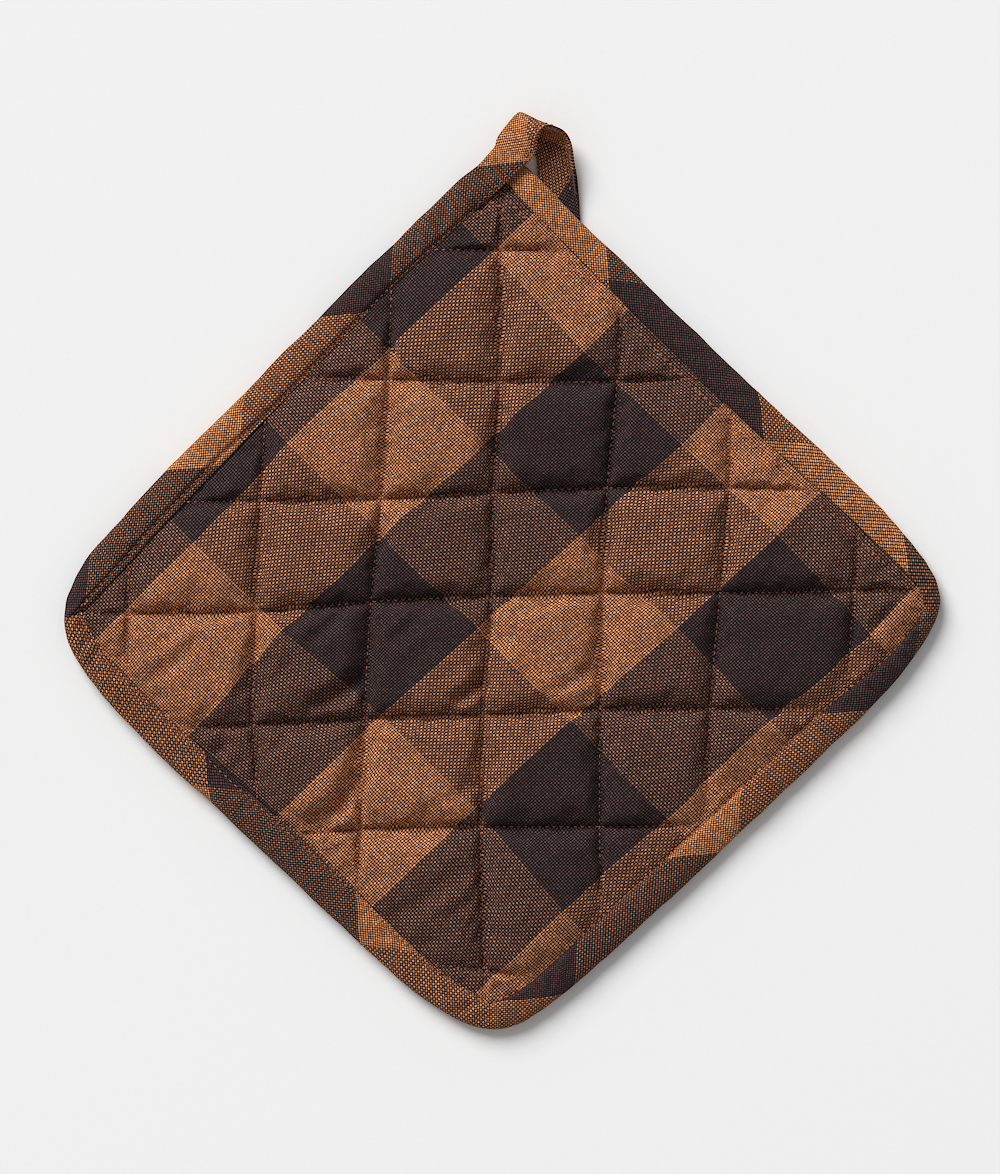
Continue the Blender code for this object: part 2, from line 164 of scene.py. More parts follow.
# Quilting lines, one a row: those going down, from left to right, with their x at each of LINE_ROWS_Y, and
# those going across, from top to bottom, with their y at each of LINE_COLUMNS_X. The outermost miss the pad.
LINE_ROWS_Y = (106.7, 63.3, 26.7, -10.0, -48.3, -86.0, -133.3)
LINES_DOWN_X = (
    (-162.0, -162.0, -162.0, -162.0, -162.0, -162.0, -162.0),
    (-124.0, -124.0, -124.2, -124.7, -125.2, -125.2, -125.2),
    (-77.0, -78.2, -80.5, -82.3, -83.0, -81.2, -80.0),
    (-36.5, -38.2, -40.3, -43.8, -46.0, -47.5, -50.0),
    (-0.8, -1.0, -3.0, -3.8, -6.5, -7.3, -6.0),
    (40.8, 38.2, 34.8, 33.2, 32.5, 32.3, 33.5),
    (77.5, 76.2, 75.2, 72.2, 69.0, 67.5, 66.8),
    (120.0, 120.0, 119.5, 116.8, 114.5, 114.0, 114.0),
    (158.0, 158.0, 158.0, 155.0, 153.0, 152.0, 152.0),
)
LINE_COLUMNS_X = (-124.8, -80.8, -39.2, -3.2, 34.8, 72.5, 117.5)
LINES_ACROSS_Y = (
    (145.0, 145.0, 145.0, 145.0, 145.0, 145.0, 145.0),
    (106.7, 106.7, 106.7, 106.5, 106.0, 105.7, 105.0),
    (63.7, 63.7, 63.5, 62.7, 62.7, 64.0, 64.5),
    (22.3, 23.0, 23.7, 25.7, 27.3, 27.3, 26.3),
    (-14.5, -13.7, -10.3, -8.7, -7.7, -7.7, -7.0),
    (-53.7, -51.5, -49.2, -48.2, -46.3, -46.2, -46.0),
    (-88.7, -88.7, -86.0, -85.5, -85.5, -85.0, -85.0),
    (-128.0, -129.0, -130.0, -133.7, -138.3, -142.0, -142.0),
    (-172.0, -172.0, -172.0, -172.0, -176.0, -180.0, -180.0),
)

# The loop's tape, from the top corner, over its tip and back under the bound edge.
LOOP = (
    Ruling(-13.3, 130.6, 5.2, -8.9, 119.6, 6.2), Ruling(-7.8, 135.0, 5.2, 0.5, 128.3, 6.4),
    Ruling(-4.8, 138.3, 5.0, 5.8, 133.3, 6.7), Ruling(-2.5, 141.0, 4.5, 9.2, 136.7, 7.1),
    Ruling(-1.7, 143.7, 4.0, 11.0, 139.3, 8.4), Ruling(1.2, 147.7, 3.5, 11.3, 142.7, 9.9),
    Ruling(4.2, 151.2, 3.3, 12.8, 145.8, 10.9), Ruling(5.7, 152.2, 2.2, 14.8, 147.2, 11.2),
    Ruling(6.4, 150.6, 1.1, 17.8, 146.7, 10.6), Ruling(7.8, 146.7, 0.85, 20.8, 145.0, 9.2),
    Ruling(9.8, 142.3, 0.85, 22.7, 141.7, 7.8), Ruling(11.3, 137.7, 0.85, 23.7, 136.0, 6.0),
    Ruling(12.0, 130.7, 0.85, 24.8, 130.0, 3.8), Ruling(12.3, 127.3, 0.85, 25.5, 123.3, 1.8),
    Ruling(12.7, 124.3, 0.85, 26.0, 115.3, 0.85), Ruling(13.0, 121.7, 0.85, 26.8, 108.0, 0.85),
)

# The few stitches that lock the end of one quilting line, near the loop.
BACK_TACK = (Place(-6.0, 123.0), Place(-2.5, 121.7), Place(0.0, 120.0), Place(0.2, 117.0))

# Creases where the pad has been gripped, mostly in its lower left.
CREASES = (
    Crease(-99.5, -20.5, -121.5, -38.0, 2.2, 2.6, 1.9), Crease(-44.6, -31.0, -66.0, -45.0, 4.4, 3.1, 2.9),
    Crease(-53.0, -14.0, -67.5, -26.0, 1.6, 2.4, 0.8), Crease(-67.0, -26.0, -80.0, -41.0, 1.1, 2.4, 1.0),
    Crease(-5.0, -34.0, -18.0, -44.5, 3.8, 2.4, 1.2), Crease(-27.0, -15.5, -39.5, -25.0, 1.6, 2.4, 0.5),
    Crease(31.5, -31.5, 15.0, -41.0, 1.8, 2.4, 1.0), Crease(-47.2, -66.5, -66.0, -85.6, 4.6, 3.4, 3.0),
    Crease(-11.0, -97.0, -40.0, -119.0, 1.6, 3.2, 1.0), Crease(-90.0, -56.0, -101.0, -63.5, 2.2, 2.4, 0.5),
    Crease(121.5, -21.5, 134.5, -7.0, 2.4, 2.0, 0.0),
)


def smooth_table(stations: Sequence[float], values: Sequence[float], at: np.ndarray) -> np.ndarray:
    """Read a short table at any place, on a cubic through its rows.

    Args:
        stations: where each value stands, ascending.
        values: the table's values.
        at: places to read.

    Returns:
        The value at each place.
    """
    stations = np.asarray(stations, float)
    values = np.asarray(values, float)
    slopes = np.gradient(values, stations)
    at = np.clip(at, stations[0], stations[-1])
    row = np.clip(np.searchsorted(stations, at, side="right") - 1, 0, len(stations) - 2)
    span = stations[row + 1] - stations[row]
    t = (at - stations[row]) / span
    return (values[row] * (1 + 2 * t) * (1 - t) ** 2 + slopes[row] * span * t * (1 - t) ** 2
            + values[row + 1] * t * t * (3 - 2 * t) + slopes[row + 1] * span * t * t * (t - 1))


def smooth_curve(points: Sequence[Sequence[float]], per_span: int = PER_SPAN) -> np.ndarray:
    """Draw a dense polyline along a smooth curve through the points.

    Args:
        points: places that the curve goes through.
        per_span: points made between two of them.

    Returns:
        The polyline, one row a point.
    """
    points = np.asarray(points, float)
    chords = np.sqrt(np.linalg.norm(np.diff(points, axis=0), axis=1))
    stations = np.concatenate([[0.0], np.cumsum(chords)])
    spans = [np.linspace(a, b, per_span, endpoint=False) for a, b in zip(stations, stations[1:])]
    at = np.concatenate(spans + [stations[-1:]])
    return np.stack([smooth_table(stations, column, at) for column in points.T], axis=1)


def lengths_along(line: np.ndarray) -> np.ndarray:
    """Distance of each point of a polyline from its start."""
    return np.concatenate([[0.0], np.cumsum(np.linalg.norm(np.diff(line, axis=0), axis=1))])


def at_shares(line: np.ndarray, shares: np.ndarray) -> np.ndarray:
    """Points of a polyline at shares of its length."""
    lengths = lengths_along(line)
    return np.stack([np.interp(shares * lengths[-1], lengths, column) for column in line.T], axis=1)


@dataclass(frozen=True)
class Ripple:
    """An even unrest of one size, from waves in random directions."""

    size: float                      # from crest to crest
    height: float                    # about half of the highest
    seed: int                        # which unrest
    waves: int = 20                  # how many are summed
    size_range: tuple[float, float] = (0.75, 1.5)

    def at(self, x: np.ndarray, y: np.ndarray | float = 0.0) -> np.ndarray:
        """Read the unrest.

        Args:
            x: places across.
            y: places up.

        Returns:
            Its height at each place, up or down.
        """
        chance = np.random.default_rng(self.seed)
        total = np.zeros(np.broadcast(x, y).shape)
        for _ in range(self.waves):
            angle = chance.uniform(0.0, 2 * math.pi)
            size = self.size * chance.uniform(*self.size_range)
            phase = chance.uniform(0.0, 2 * math.pi)
            total += np.cos(2 * math.pi * (x * math.cos(angle) + y * math.sin(angle)) / size + phase)
        return total / math.sqrt(self.waves / 2) * self.height


def unit(vectors: np.ndarray) -> np.ndarray:
    """Bring each vector of the last axis to length 1."""
    return vectors / np.linalg.norm(vectors, axis=-1, keepdims=True)


def smooth_step(share: np.ndarray) -> np.ndarray:
    """Go from 0 to 1 with a level start and end."""
    return share * share * (3 - 2 * share)


def linear(hex_colour: str) -> Colour:
    """Turn an sRGB hex colour into a linear one with full alpha, by the sRGB standard's curve.

    Args:
        hex_colour: the colour as # and six digits.

    Returns:
        Its red, green, blue and alpha.
    """
    parts = [int(hex_colour[index:index + 2], 16) / 255 for index in (1, 3, 5)]
    red, green, blue = (
        part / 12.92 if part <= 0.04045 else ((part + 0.055) / 1.055) ** 2.4 for part in parts)
    return (red, green, blue, 1.0)


def add_node(tree: bpy.types.NodeTree, kind: str, settings: dict | None = None,
             **links: object) -> bpy.types.Node:
    """Add a node with its settings and inputs.

    Args:
        tree: the node tree.
        kind: the node's type name.
        settings: attributes of the node itself.
        links: value or output socket for an input, by its name, or by its index as i0, i1 and so on.

    Returns:
        The new node.
    """
    node = tree.nodes.new(kind)
    for name, value in (settings or {}).items():
        setattr(node, name, value)
    for name, value in links.items():
        by_index = name[0] == "i" and name[1:].isdigit()
        socket = node.inputs[int(name[1:])] if by_index else node.inputs[name.replace("_", " ")]
        if isinstance(value, bpy.types.NodeSocket):
            tree.links.new(value, socket)
        else:
            socket.default_value = value
    return node


@dataclass(frozen=True)
class Nodes:
    """A material's node tree, with a method for each kind of node that comes up again and again."""

    tree: bpy.types.NodeTree
    noise_range: tuple[float, float] = (0.3, 0.7)    # where nearly all values of a noise texture lie

    def add(self, kind: str, settings: dict | None = None, **links: object) -> bpy.types.Node:
        """Add any node."""
        return add_node(self.tree, kind, settings, **links)

    def math(self, operation: str, first: Value, second: Value = 0.0, third: Value = 0.0) -> Value:
        """Calculate with up to three values."""
        return self.add("ShaderNodeMath", {"operation": operation}, i0=first, i1=second, i2=third).outputs[0]

    def pick(self, share: Value, first: Value, second: Value) -> Value:
        """Go from one value to another by a share."""
        return self.add("ShaderNodeMix", {"data_type": "FLOAT"}, i0=share, i2=first, i3=second).outputs[0]

    def blend(self, share: Value, first: Colour | Value, second: Colour | Value) -> Value:
        """Go from one colour to another by a share."""
        return self.add("ShaderNodeMix", {"data_type": "RGBA"}, i0=share, i6=first, i7=second).outputs[2]

    def shaded(self, colour: Colour | Value, strength: Value) -> Value:
        """Make a colour lighter or darker by a factor.

        Args:
            colour: the colour.
            strength: 1 leaves it as it is.

        Returns:
            The colour times the factor.
        """
        tint = self.add("ShaderNodeCombineColor", i0=strength, i1=strength, i2=strength).outputs[0]
        return self.add("ShaderNodeMix", {"data_type": "RGBA", "blend_type": "MULTIPLY"}, i0=1.0, i6=colour,
                        i7=tint).outputs[2]

    def around_one(self, texture: Value, reach: float, noise: bool) -> Value:
        """Turn a texture's value into a factor.

        Args:
            texture: a value from 0 to 1.
            reach: how far the factor goes over or under 1.
            noise: whether the texture is a noise, which hardly comes near 0 or 1.

        Returns:
            The factor.
        """
        low, high = self.noise_range if noise else (0.0, 1.0)
        return self.add("ShaderNodeMapRange", Value=texture, From_Min=low, From_Max=high, To_Min=1.0 - reach,
                        To_Max=1.0 + reach).outputs[0]


def new_material(name: str, **sockets: object) -> tuple[bpy.types.Material, Nodes, bpy.types.Node]:
    """Start a material.

    Args:
        name: the material's name.
        sockets: values for its shader's sockets, with _ for a space in a socket's name.

    Returns:
        The material, its nodes and its shader.
    """
    material = bpy.data.materials.new(name)
    material.use_nodes = True
    shader = material.node_tree.nodes["Principled BSDF"]
    for socket, value in sockets.items():
        shader.inputs[socket.replace("_", " ")].default_value = value
    return material, Nodes(material.node_tree), shader


def make_object(name: str, points: np.ndarray, faces: Sequence[Sequence[int]],
                corner_uvs: np.ndarray | None = None, pulled: np.ndarray | None = None,
                material: bpy.types.Material | None = None) -> bpy.types.Object:
    """Make a smooth-shaded mesh object at the origin.

    Args:
        name: the piece's name.
        points: vertices in millimetres.
        faces: vertex numbers of each face.
        corner_uvs: thread coordinates of each face corner, in the faces' order.
        pulled: how much a seam pulls the cloth at each vertex, from 0 to 1.
        material: what it is made of.

    Returns:
        The object, linked to the scene.
    """
    mesh = bpy.data.meshes.new(name)
    mesh.from_pydata((np.asarray(points) * MM).tolist(), [], [tuple(face) for face in faces])
    if corner_uvs is not None:
        layer = mesh.uv_layers.new(name=UV_NAME)
        layer.data.foreach_set("uv", np.asarray(corner_uvs, np.float32).ravel())
    if pulled is not None:
        mark = mesh.attributes.new(PULL_NAME, "FLOAT", "POINT")
        mark.data.foreach_set("value", np.asarray(pulled, np.float32).ravel())
    if material is not None:
        mesh.materials.append(material)
    mesh.shade_smooth()
    mesh.update()
    item = bpy.data.objects.new(name, mesh)
    bpy.context.scene.collection.objects.link(item)
    return item


class Threads(NamedTuple):
    """A point's place in the weave: its yarn coordinates, together and apart, and both yarns' numbers."""

    place: Value
    column: Value
    row: Value
    column_number: Value
    row_number: Value


@dataclass(frozen=True)
class CheckedCotton:
    """Plain-weave cotton in a buffalo check, woven from dyed yarns, washed and a little coarse.

    Both families of yarns change between caramel and near-black every stripe. Where both are caramel or both
    dark the cell is plain; where they differ, each yarn shows as dots between the other's.
    """

    name: str
    caramel: str = "#fba76a"         # the back of a yarn; the painted shade in the gaps between the yarns darkens the whole
    caramel_gap_shade: str = "#30130a"     # painted shade between two caramel yarns
    dark: str = "#674949"            # a brownish grey on a yarn's back, where the painted shade between the yarns is least
    # painted shade between two dark yarns
    dark_gap_shade: str = "#030102"
    column_threads: int = 50         # yarns in one stripe of about 45 mm: a little coarser than the real
    row_threads: int = 57            # 60 and 68, which would blur in a picture of the whole pot holder
    roughness: float = 0.88          # matt: carded cotton has short loose fibres all over
    specular: float = 0.25           # which also keep it from shining
    sheen: float = 0.12              # but catch light at a flat angle
    sheen_roughness: float = 0.45
    sheen_tint: str = "#e8d2c0"      # the pale colour of a fibre's edge
    yarn_relief: float = 0.12        # how far a yarn's back stands above its crossing
    relief_strength: float = 0.8
    pucker: float = 0.8              # how far the cloth ruckles where a seam pulls it
    pucker_size: float = 2.6         # from one ruckle to the next: a little more than a stitch
    column_width: float = 0.9        # of a column yarn, as a share of its pitch
    edge_blur: float = 0.08          # of its edges
    roundness: float = 2.3           # of a yarn: 2 is a circle, higher is flatter along its back
    side_fall: float = 1.0           # how far it falls away to its sides
    end_fall: float = 0.75           # and to its ends, where it dips under
    caramel_falloff: float = 1.5     # how fast the painted shade darkens a yarn from its back to its sides
    dark_falloff: float = 2.3
    column_shade: float = 0.8        # painted shade on the column yarns, which are pulled tighter and lie deeper
    seam_shade: float = 0.1          # painted shade where the cloth dips between two stitches
    seam_core: float = 20.0          # higher keeps that nearer to the line of stitches
    fuzz: float = 0.16               # share of one yarn's loose fibres that lie over the other colour
    stray: float = 0.25              # and of the row yarns' fibres that stray over the column yarns
    dulled: float = 0.08             # how much darker the cloth is where both colours lie together
    slub: float = 0.2                # how much lighter or darker a stretch of one yarn is
    slub_rate: float = 0.11          # stretches to a crossing
    yarn_gap: float = 3.7            # how far apart the noise is read for two yarns side by side
    family_gap: float = 517.3        # and how many yarns apart the two families are read
    fleck: float = 0.3               # how much lighter or darker a single crossing is
    worn: float = 0.1                # how much lighter or darker a worn patch is
    worn_rate: float = 0.09          # patches to a crossing

    def material(self) -> bpy.types.Material:
        """Build the cloth's material.

        Returns:
            A material that reads thread numbers from the UV map and the seams' pull from an attribute.
        """
        material, nodes, shader = new_material(
            self.name, Roughness=self.roughness, Specular_IOR_Level=self.specular, Sheen_Weight=self.sheen,
            Sheen_Roughness=self.sheen_roughness, Sheen_Tint=linear(self.sheen_tint))
        place = nodes.add("ShaderNodeUVMap", {"uv_map": UV_NAME}).outputs[0]
        column, row, _ = nodes.add("ShaderNodeSeparateXYZ", i0=place).outputs
        threads = Threads(place, column, row, nodes.math("FLOOR", column), nodes.math("FLOOR", row))
        pulled = nodes.add("ShaderNodeAttribute", {"attribute_name": PULL_NAME}).outputs["Fac"]
        over, lit = self._weave(nodes, threads)

        column_dark = self._dark_stripe(nodes, threads.column_number, self.column_threads)
        row_dark = self._dark_stripe(nodes, threads.row_number, self.row_threads)
        halfway = nodes.math("MULTIPLY", nodes.math("ADD", row_dark, column_dark), 0.5)
        dark = nodes.pick(over, row_dark, nodes.pick(self.stray, column_dark, row_dark))
        dark = nodes.pick(self.fuzz, dark, halfway)

        # The row yarns cover most of the cloth, so it is they that tint the painted shade in the gaps.
        gap = nodes.blend(row_dark, linear(self.caramel_gap_shade), linear(self.dark_gap_shade))
        # Painted shade: a yarn's colour falls from its back to the gap colour at its sides and ends, by its
        # height.
        shade = nodes.math("POWER", lit, nodes.pick(dark, self.caramel_falloff, self.dark_falloff))
        colour = nodes.blend(shade, gap, nodes.blend(dark, linear(self.caramel), linear(self.dark)))

        strength = self._unevenness(nodes, threads, over)
        mixed = nodes.math("ABSOLUTE", nodes.math("SUBTRACT", row_dark, column_dark))
        # Painted shade in the line of stitches, where the cloth dips between them.
        in_seam = nodes.math("POWER", pulled, self.seam_core)
        # Painted shade on the deeper column yarns and in the seams' stitch lines, and darker where both
        # colours lie together.
        for share, factor in ((over, self.column_shade), (mixed, 1.0 - self.dulled),
                              (in_seam, 1.0 - self.seam_shade)):
            strength = nodes.math("MULTIPLY", strength, nodes.pick(share, 1.0, factor))
        nodes.tree.links.new(nodes.shaded(colour, strength), shader.inputs["Base Color"])
        nodes.tree.links.new(self._relief(nodes, lit, pulled), shader.inputs["Normal"])
        return material

    def _weave(self, nodes: Nodes, threads: Threads) -> tuple[Value, Value]:
        """Lay the yarns over and under each other.

        Args:
            nodes: the material's nodes.
            threads: the place in the weave.

        Returns:
            How far a column yarn is on top, and the height of the upper yarn there, both from 0 to 1.
        """
        column_off, row_off = (
            nodes.math("ABSOLUTE", nodes.math("SUBTRACT", nodes.math("FRACT", along), 0.5))
            for along in (threads.column, threads.row))
        crossing = nodes.math("ADD", threads.column_number, threads.row_number)
        column_over = nodes.math("FLOORED_MODULO", crossing, 2.0)

        # A column yarn is narrower than its pitch, so the row yarns show between the column yarns too.
        narrow = self.column_width / 2
        over = nodes.add("ShaderNodeMapRange", Value=column_off, From_Min=narrow + self.edge_blur,
                         From_Max=narrow - self.edge_blur).outputs[0]
        over = nodes.math("MULTIPLY", column_over, over)
        from_float = nodes.pick(column_over, column_off, nodes.math("SUBTRACT", 1.0, column_off))
        row_back = self._back(nodes, (row_off, 0.5), (from_float, 1.0 - narrow))
        column_back = self._back(nodes, (column_off, narrow), (row_off, 0.5))
        return over, nodes.pick(over, row_back, column_back)

    def _back(self, nodes: Nodes, across: tuple[Value, float], along: tuple[Value, float]) -> Value:
        """Find the height of a round yarn, which falls away to both sides and dips under at both ends.

        Args:
            nodes: the material's nodes.
            across: distance from its middle line, and half its width.
            along: distance from the middle of the stretch on top, and half that stretch.

        Returns:
            Its height, from 0 to 1.
        """
        side, end = (nodes.math("POWER", nodes.math("DIVIDE", off, half), self.roundness)
                     for off, half in (across, along))
        low = nodes.math("MULTIPLY_ADD", side, self.side_fall, nodes.math("MULTIPLY", end, self.end_fall))
        return nodes.math("MAXIMUM", nodes.math("SUBTRACT", 1.0, low), 0.0)

    @staticmethod
    def _dark_stripe(nodes: Nodes, number: Value, threads: int) -> Value:
        """1 on the dark stripes of one family of yarns, and 0 on the caramel ones."""
        stripe = nodes.math("FLOOR", nodes.math("DIVIDE", number, threads))
        return nodes.math("FLOORED_MODULO", stripe, 2.0)

    def _unevenness(self, nodes: Nodes, threads: Threads, over: Value) -> Value:
        """Give each yarn its own shade, its thicker stretches and its flecks, as spun yarn has.

        Args:
            nodes: the material's nodes.
            threads: the place in the weave.
            over: how far a column yarn is on top.

        Returns:
            A factor for the colour.
        """
        apart = nodes.math("ADD", threads.column_number, self.family_gap)
        number = nodes.pick(over, threads.row_number, apart)
        run = nodes.pick(over, threads.column, threads.row)
        along = nodes.add("ShaderNodeCombineXYZ", i0=nodes.math("MULTIPLY", number, self.yarn_gap),
                          i1=nodes.math("MULTIPLY", run, self.slub_rate)).outputs[0]
        slub = nodes.add("ShaderNodeTexNoise", Vector=along, Scale=1.0, Detail=2.0, Roughness=0.6).outputs[0]
        crossing = nodes.add("ShaderNodeCombineXYZ", i0=threads.column_number,
                             i1=threads.row_number).outputs[0]
        fleck = nodes.add("ShaderNodeTexWhiteNoise", {"noise_dimensions": "2D"}, Vector=crossing).outputs[0]
        worn = nodes.add("ShaderNodeTexNoise", Vector=threads.place, Scale=self.worn_rate,
                         Detail=3.0).outputs[0]
        strength = nodes.math("MULTIPLY", nodes.around_one(slub, self.slub, True),
                              nodes.around_one(fleck, self.fleck, False))
        return nodes.math("MULTIPLY", strength, nodes.around_one(worn, self.worn, True))

    def _relief(self, nodes: Nodes, lit: Value, pulled: Value) -> Value:
        """Ruckle the cloth beside the seams and raise its yarns.

        Args:
            nodes: the material's nodes.
            lit: height of the upper yarn.
            pulled: how much a seam pulls the cloth.

        Returns:
            The normal.
        """
        place = nodes.add("ShaderNodeTexCoord").outputs["Object"]
        ruckle = nodes.add("ShaderNodeTexNoise", Vector=place, Scale=1.0 / (self.pucker_size * MM),
                           Detail=1.0).outputs[0]
        ruckled = nodes.add("ShaderNodeBump", Distance=self.pucker * MM,
                            Height=nodes.math("MULTIPLY", ruckle, pulled)).outputs[0]
        return nodes.add("ShaderNodeBump", Strength=self.relief_strength, Distance=self.yarn_relief * MM,
                         Height=lit, Normal=ruckled).outputs[0]


@dataclass(frozen=True)
class SewingThread:
    """Two-ply polyester sewing thread in rust, with a slight gloss and a twist."""

    name: str = "rust_sewing_thread"
    colour: str = "#c06c4c"
    shade: str = "#81402a"           # painted shade between the two plies
    roughness: float = 0.55          # smoother than the cotton, so that each stitch takes a small highlight
    sheen: float = 0.1
    twist: float = 0.45              # a turn of the two plies
    band_rate: float = 0.31          # scale at which the wave texture goes from dark to light in a unit
    distortion: float = 1.5          # keeps the plies from looking ruled
    ply_relief: float = 0.05         # how far a ply stands out
    relief_strength: float = 0.4

    def material(self) -> bpy.types.Material:
        """Build the thread's material from Object coordinates.

        Returns:
            The thread's material.
        """
        material, nodes, shader = new_material(self.name, Roughness=self.roughness, Sheen_Weight=self.sheen)
        place = nodes.add("ShaderNodeTexCoord").outputs["Object"]
        plies = nodes.add("ShaderNodeTexWave", {"bands_direction": "DIAGONAL"}, Vector=place,
                          Scale=self.band_rate / (self.twist * MM), Distortion=self.distortion).outputs["Fac"]
        # The wave's bands paint shade between the two plies.
        colour = nodes.blend(plies, linear(self.shade), linear(self.colour))
        nodes.tree.links.new(colour, shader.inputs["Base Color"])
        bump = nodes.add("ShaderNodeBump", Strength=self.relief_strength, Distance=self.ply_relief * MM,
                         Height=plies).outputs[0]
        nodes.tree.links.new(bump, shader.inputs["Normal"])
        return material


@dataclass(frozen=True)
class PaperFloor:
    """Matt background paper, nearly white."""

    name: str = "background_paper"
    colour: str = "#f8f8f8"
    roughness: float = 1.0           # uncoated paper has no shine at all
    specular: float = 0.0
    fibre_rate: float = 900.0        # fibres to a metre
    mottle: float = 0.015            # how much lighter or darker one is, too little to see singly

    def material(self) -> bpy.types.Material:
        """Build the paper's material, with a faint fibre mottle.

        Returns:
            The paper's material.
        """
        material, nodes, shader = new_material(self.name, Roughness=self.roughness,
                                               Specular_IOR_Level=self.specular)
        place = nodes.add("ShaderNodeTexCoord").outputs["Object"]
        fibre = nodes.add("ShaderNodeTexNoise", Vector=place, Scale=self.fibre_rate, Detail=2.0).outputs[0]
        colour = nodes.shaded(linear(self.colour), nodes.around_one(fibre, self.mottle, False))
        nodes.tree.links.new(colour, shader.inputs["Base Color"])
        return material


class Cut(Enum):
    """How each piece of cloth was cut, as the check shows: where its yarns change colour, in millimetres.

    The pad's yarns run along its sides. The tape was cut on the bias, so its yarns run level and upright in
    the plan along all four sides.
    """

    PAD = (Stripes((-66.2, -21.2, 24.5, 71.1, 116.8), False, False),
           Stripes((-79.2, -34.8, 7.8, 51.8, 96.8), True, True))
    UPPER_LEFT = (Stripes((-139.2, -87.2, -37.5, 12.5), True, False),
                  Stripes((-17.7, 34.0, 85.7, 135.0, 177.0), False, True))
    LOWER_LEFT = (Stripes((-98.5, -48.5, 1.5), False, True), Stripes((-126.7, -73.0, -6.0), True, False))
    LOWER_RIGHT = (Stripes((-20.8, 24.5, 79.5, 139.2), False, False),
                   Stripes((-143.3, -95.7, -47.7, 1.7), False, True))
    UPPER_RIGHT = (Stripes((-15.8, 35.2, 86.2, 134.8), True, True),
                   Stripes((-26.0, 42.7, 96.0, 147.3), True, False))

    def threads(self, column: np.ndarray, row: np.ndarray, cloth: CheckedCotton) -> np.ndarray:
        """Number the yarns at each place.

        Args:
            column: place across the first family of yarns.
            row: place across the second.
            cloth: the cloth, for the yarns in a stripe.

        Returns:
            Both yarn numbers in the last axis, the family that shows more last.
        """
        numbers = []
        for stripes, place in zip(self.value, (column, row)):
            count = cloth.row_threads if stripes.shows_more else cloth.column_threads
            changes = np.array(stripes.changes)
            last = len(changes) - 1
            beyond = STRIPES_BEYOND * (changes[-1] - changes[0]) / last
            ends = np.array([changes[0] - beyond, *changes, changes[-1] + beyond])
            stripe = np.array([-STRIPES_BEYOND, *range(len(changes)), last + STRIPES_BEYOND])
            if not stripes.starts_dark:
                stripe += 1
            numbers.append(np.interp(place, ends, stripe * float(count)))
        if self.value[0].shows_more:
            numbers.reverse()
        return np.stack(numbers, axis=-1)


PAD_TURN = math.radians(44.0)        # direction of the pad's second family of yarns in the plan

# How far each crossing of the check's lines lies off the straight ones, where the puffed cloth bends them.
# A row is a change of the first family of yarns, from left to right, and the first row is one stripe further
# left than its table starts. A column is a change of the second family, downwards.
CROSSING_ACROSS = (
    (-3.0, -1.9, 2.2, 3.0, 0.0),
    (-1.3, -0.1, 4.2, 5.0, 1.9),
    (-0.9, -0.3, 1.3, 2.1, 3.0),
    (-0.6, 0.6, 1.8, 4.0, 5.0),
    (-0.8, -1.7, 0.1, 2.6, 1.9),
    (-0.3, -1.0, 0.0, 0.8, 3.4),
)
CROSSING_DOWN = (
    (1.6, 2.2, -1.3, -1.1, -1.8),
    (1.6, -1.4, -1.3, -1.1, -1.8),
    (-0.7, -0.9, 0.2, 0.1, 0.5),
    (0.0, 0.8, 1.4, 2.6, 0.6),
    (0.7, 1.2, 3.4, 3.7, 3.6),
    (1.1, 1.6, 2.8, 2.8, 1.6),
)


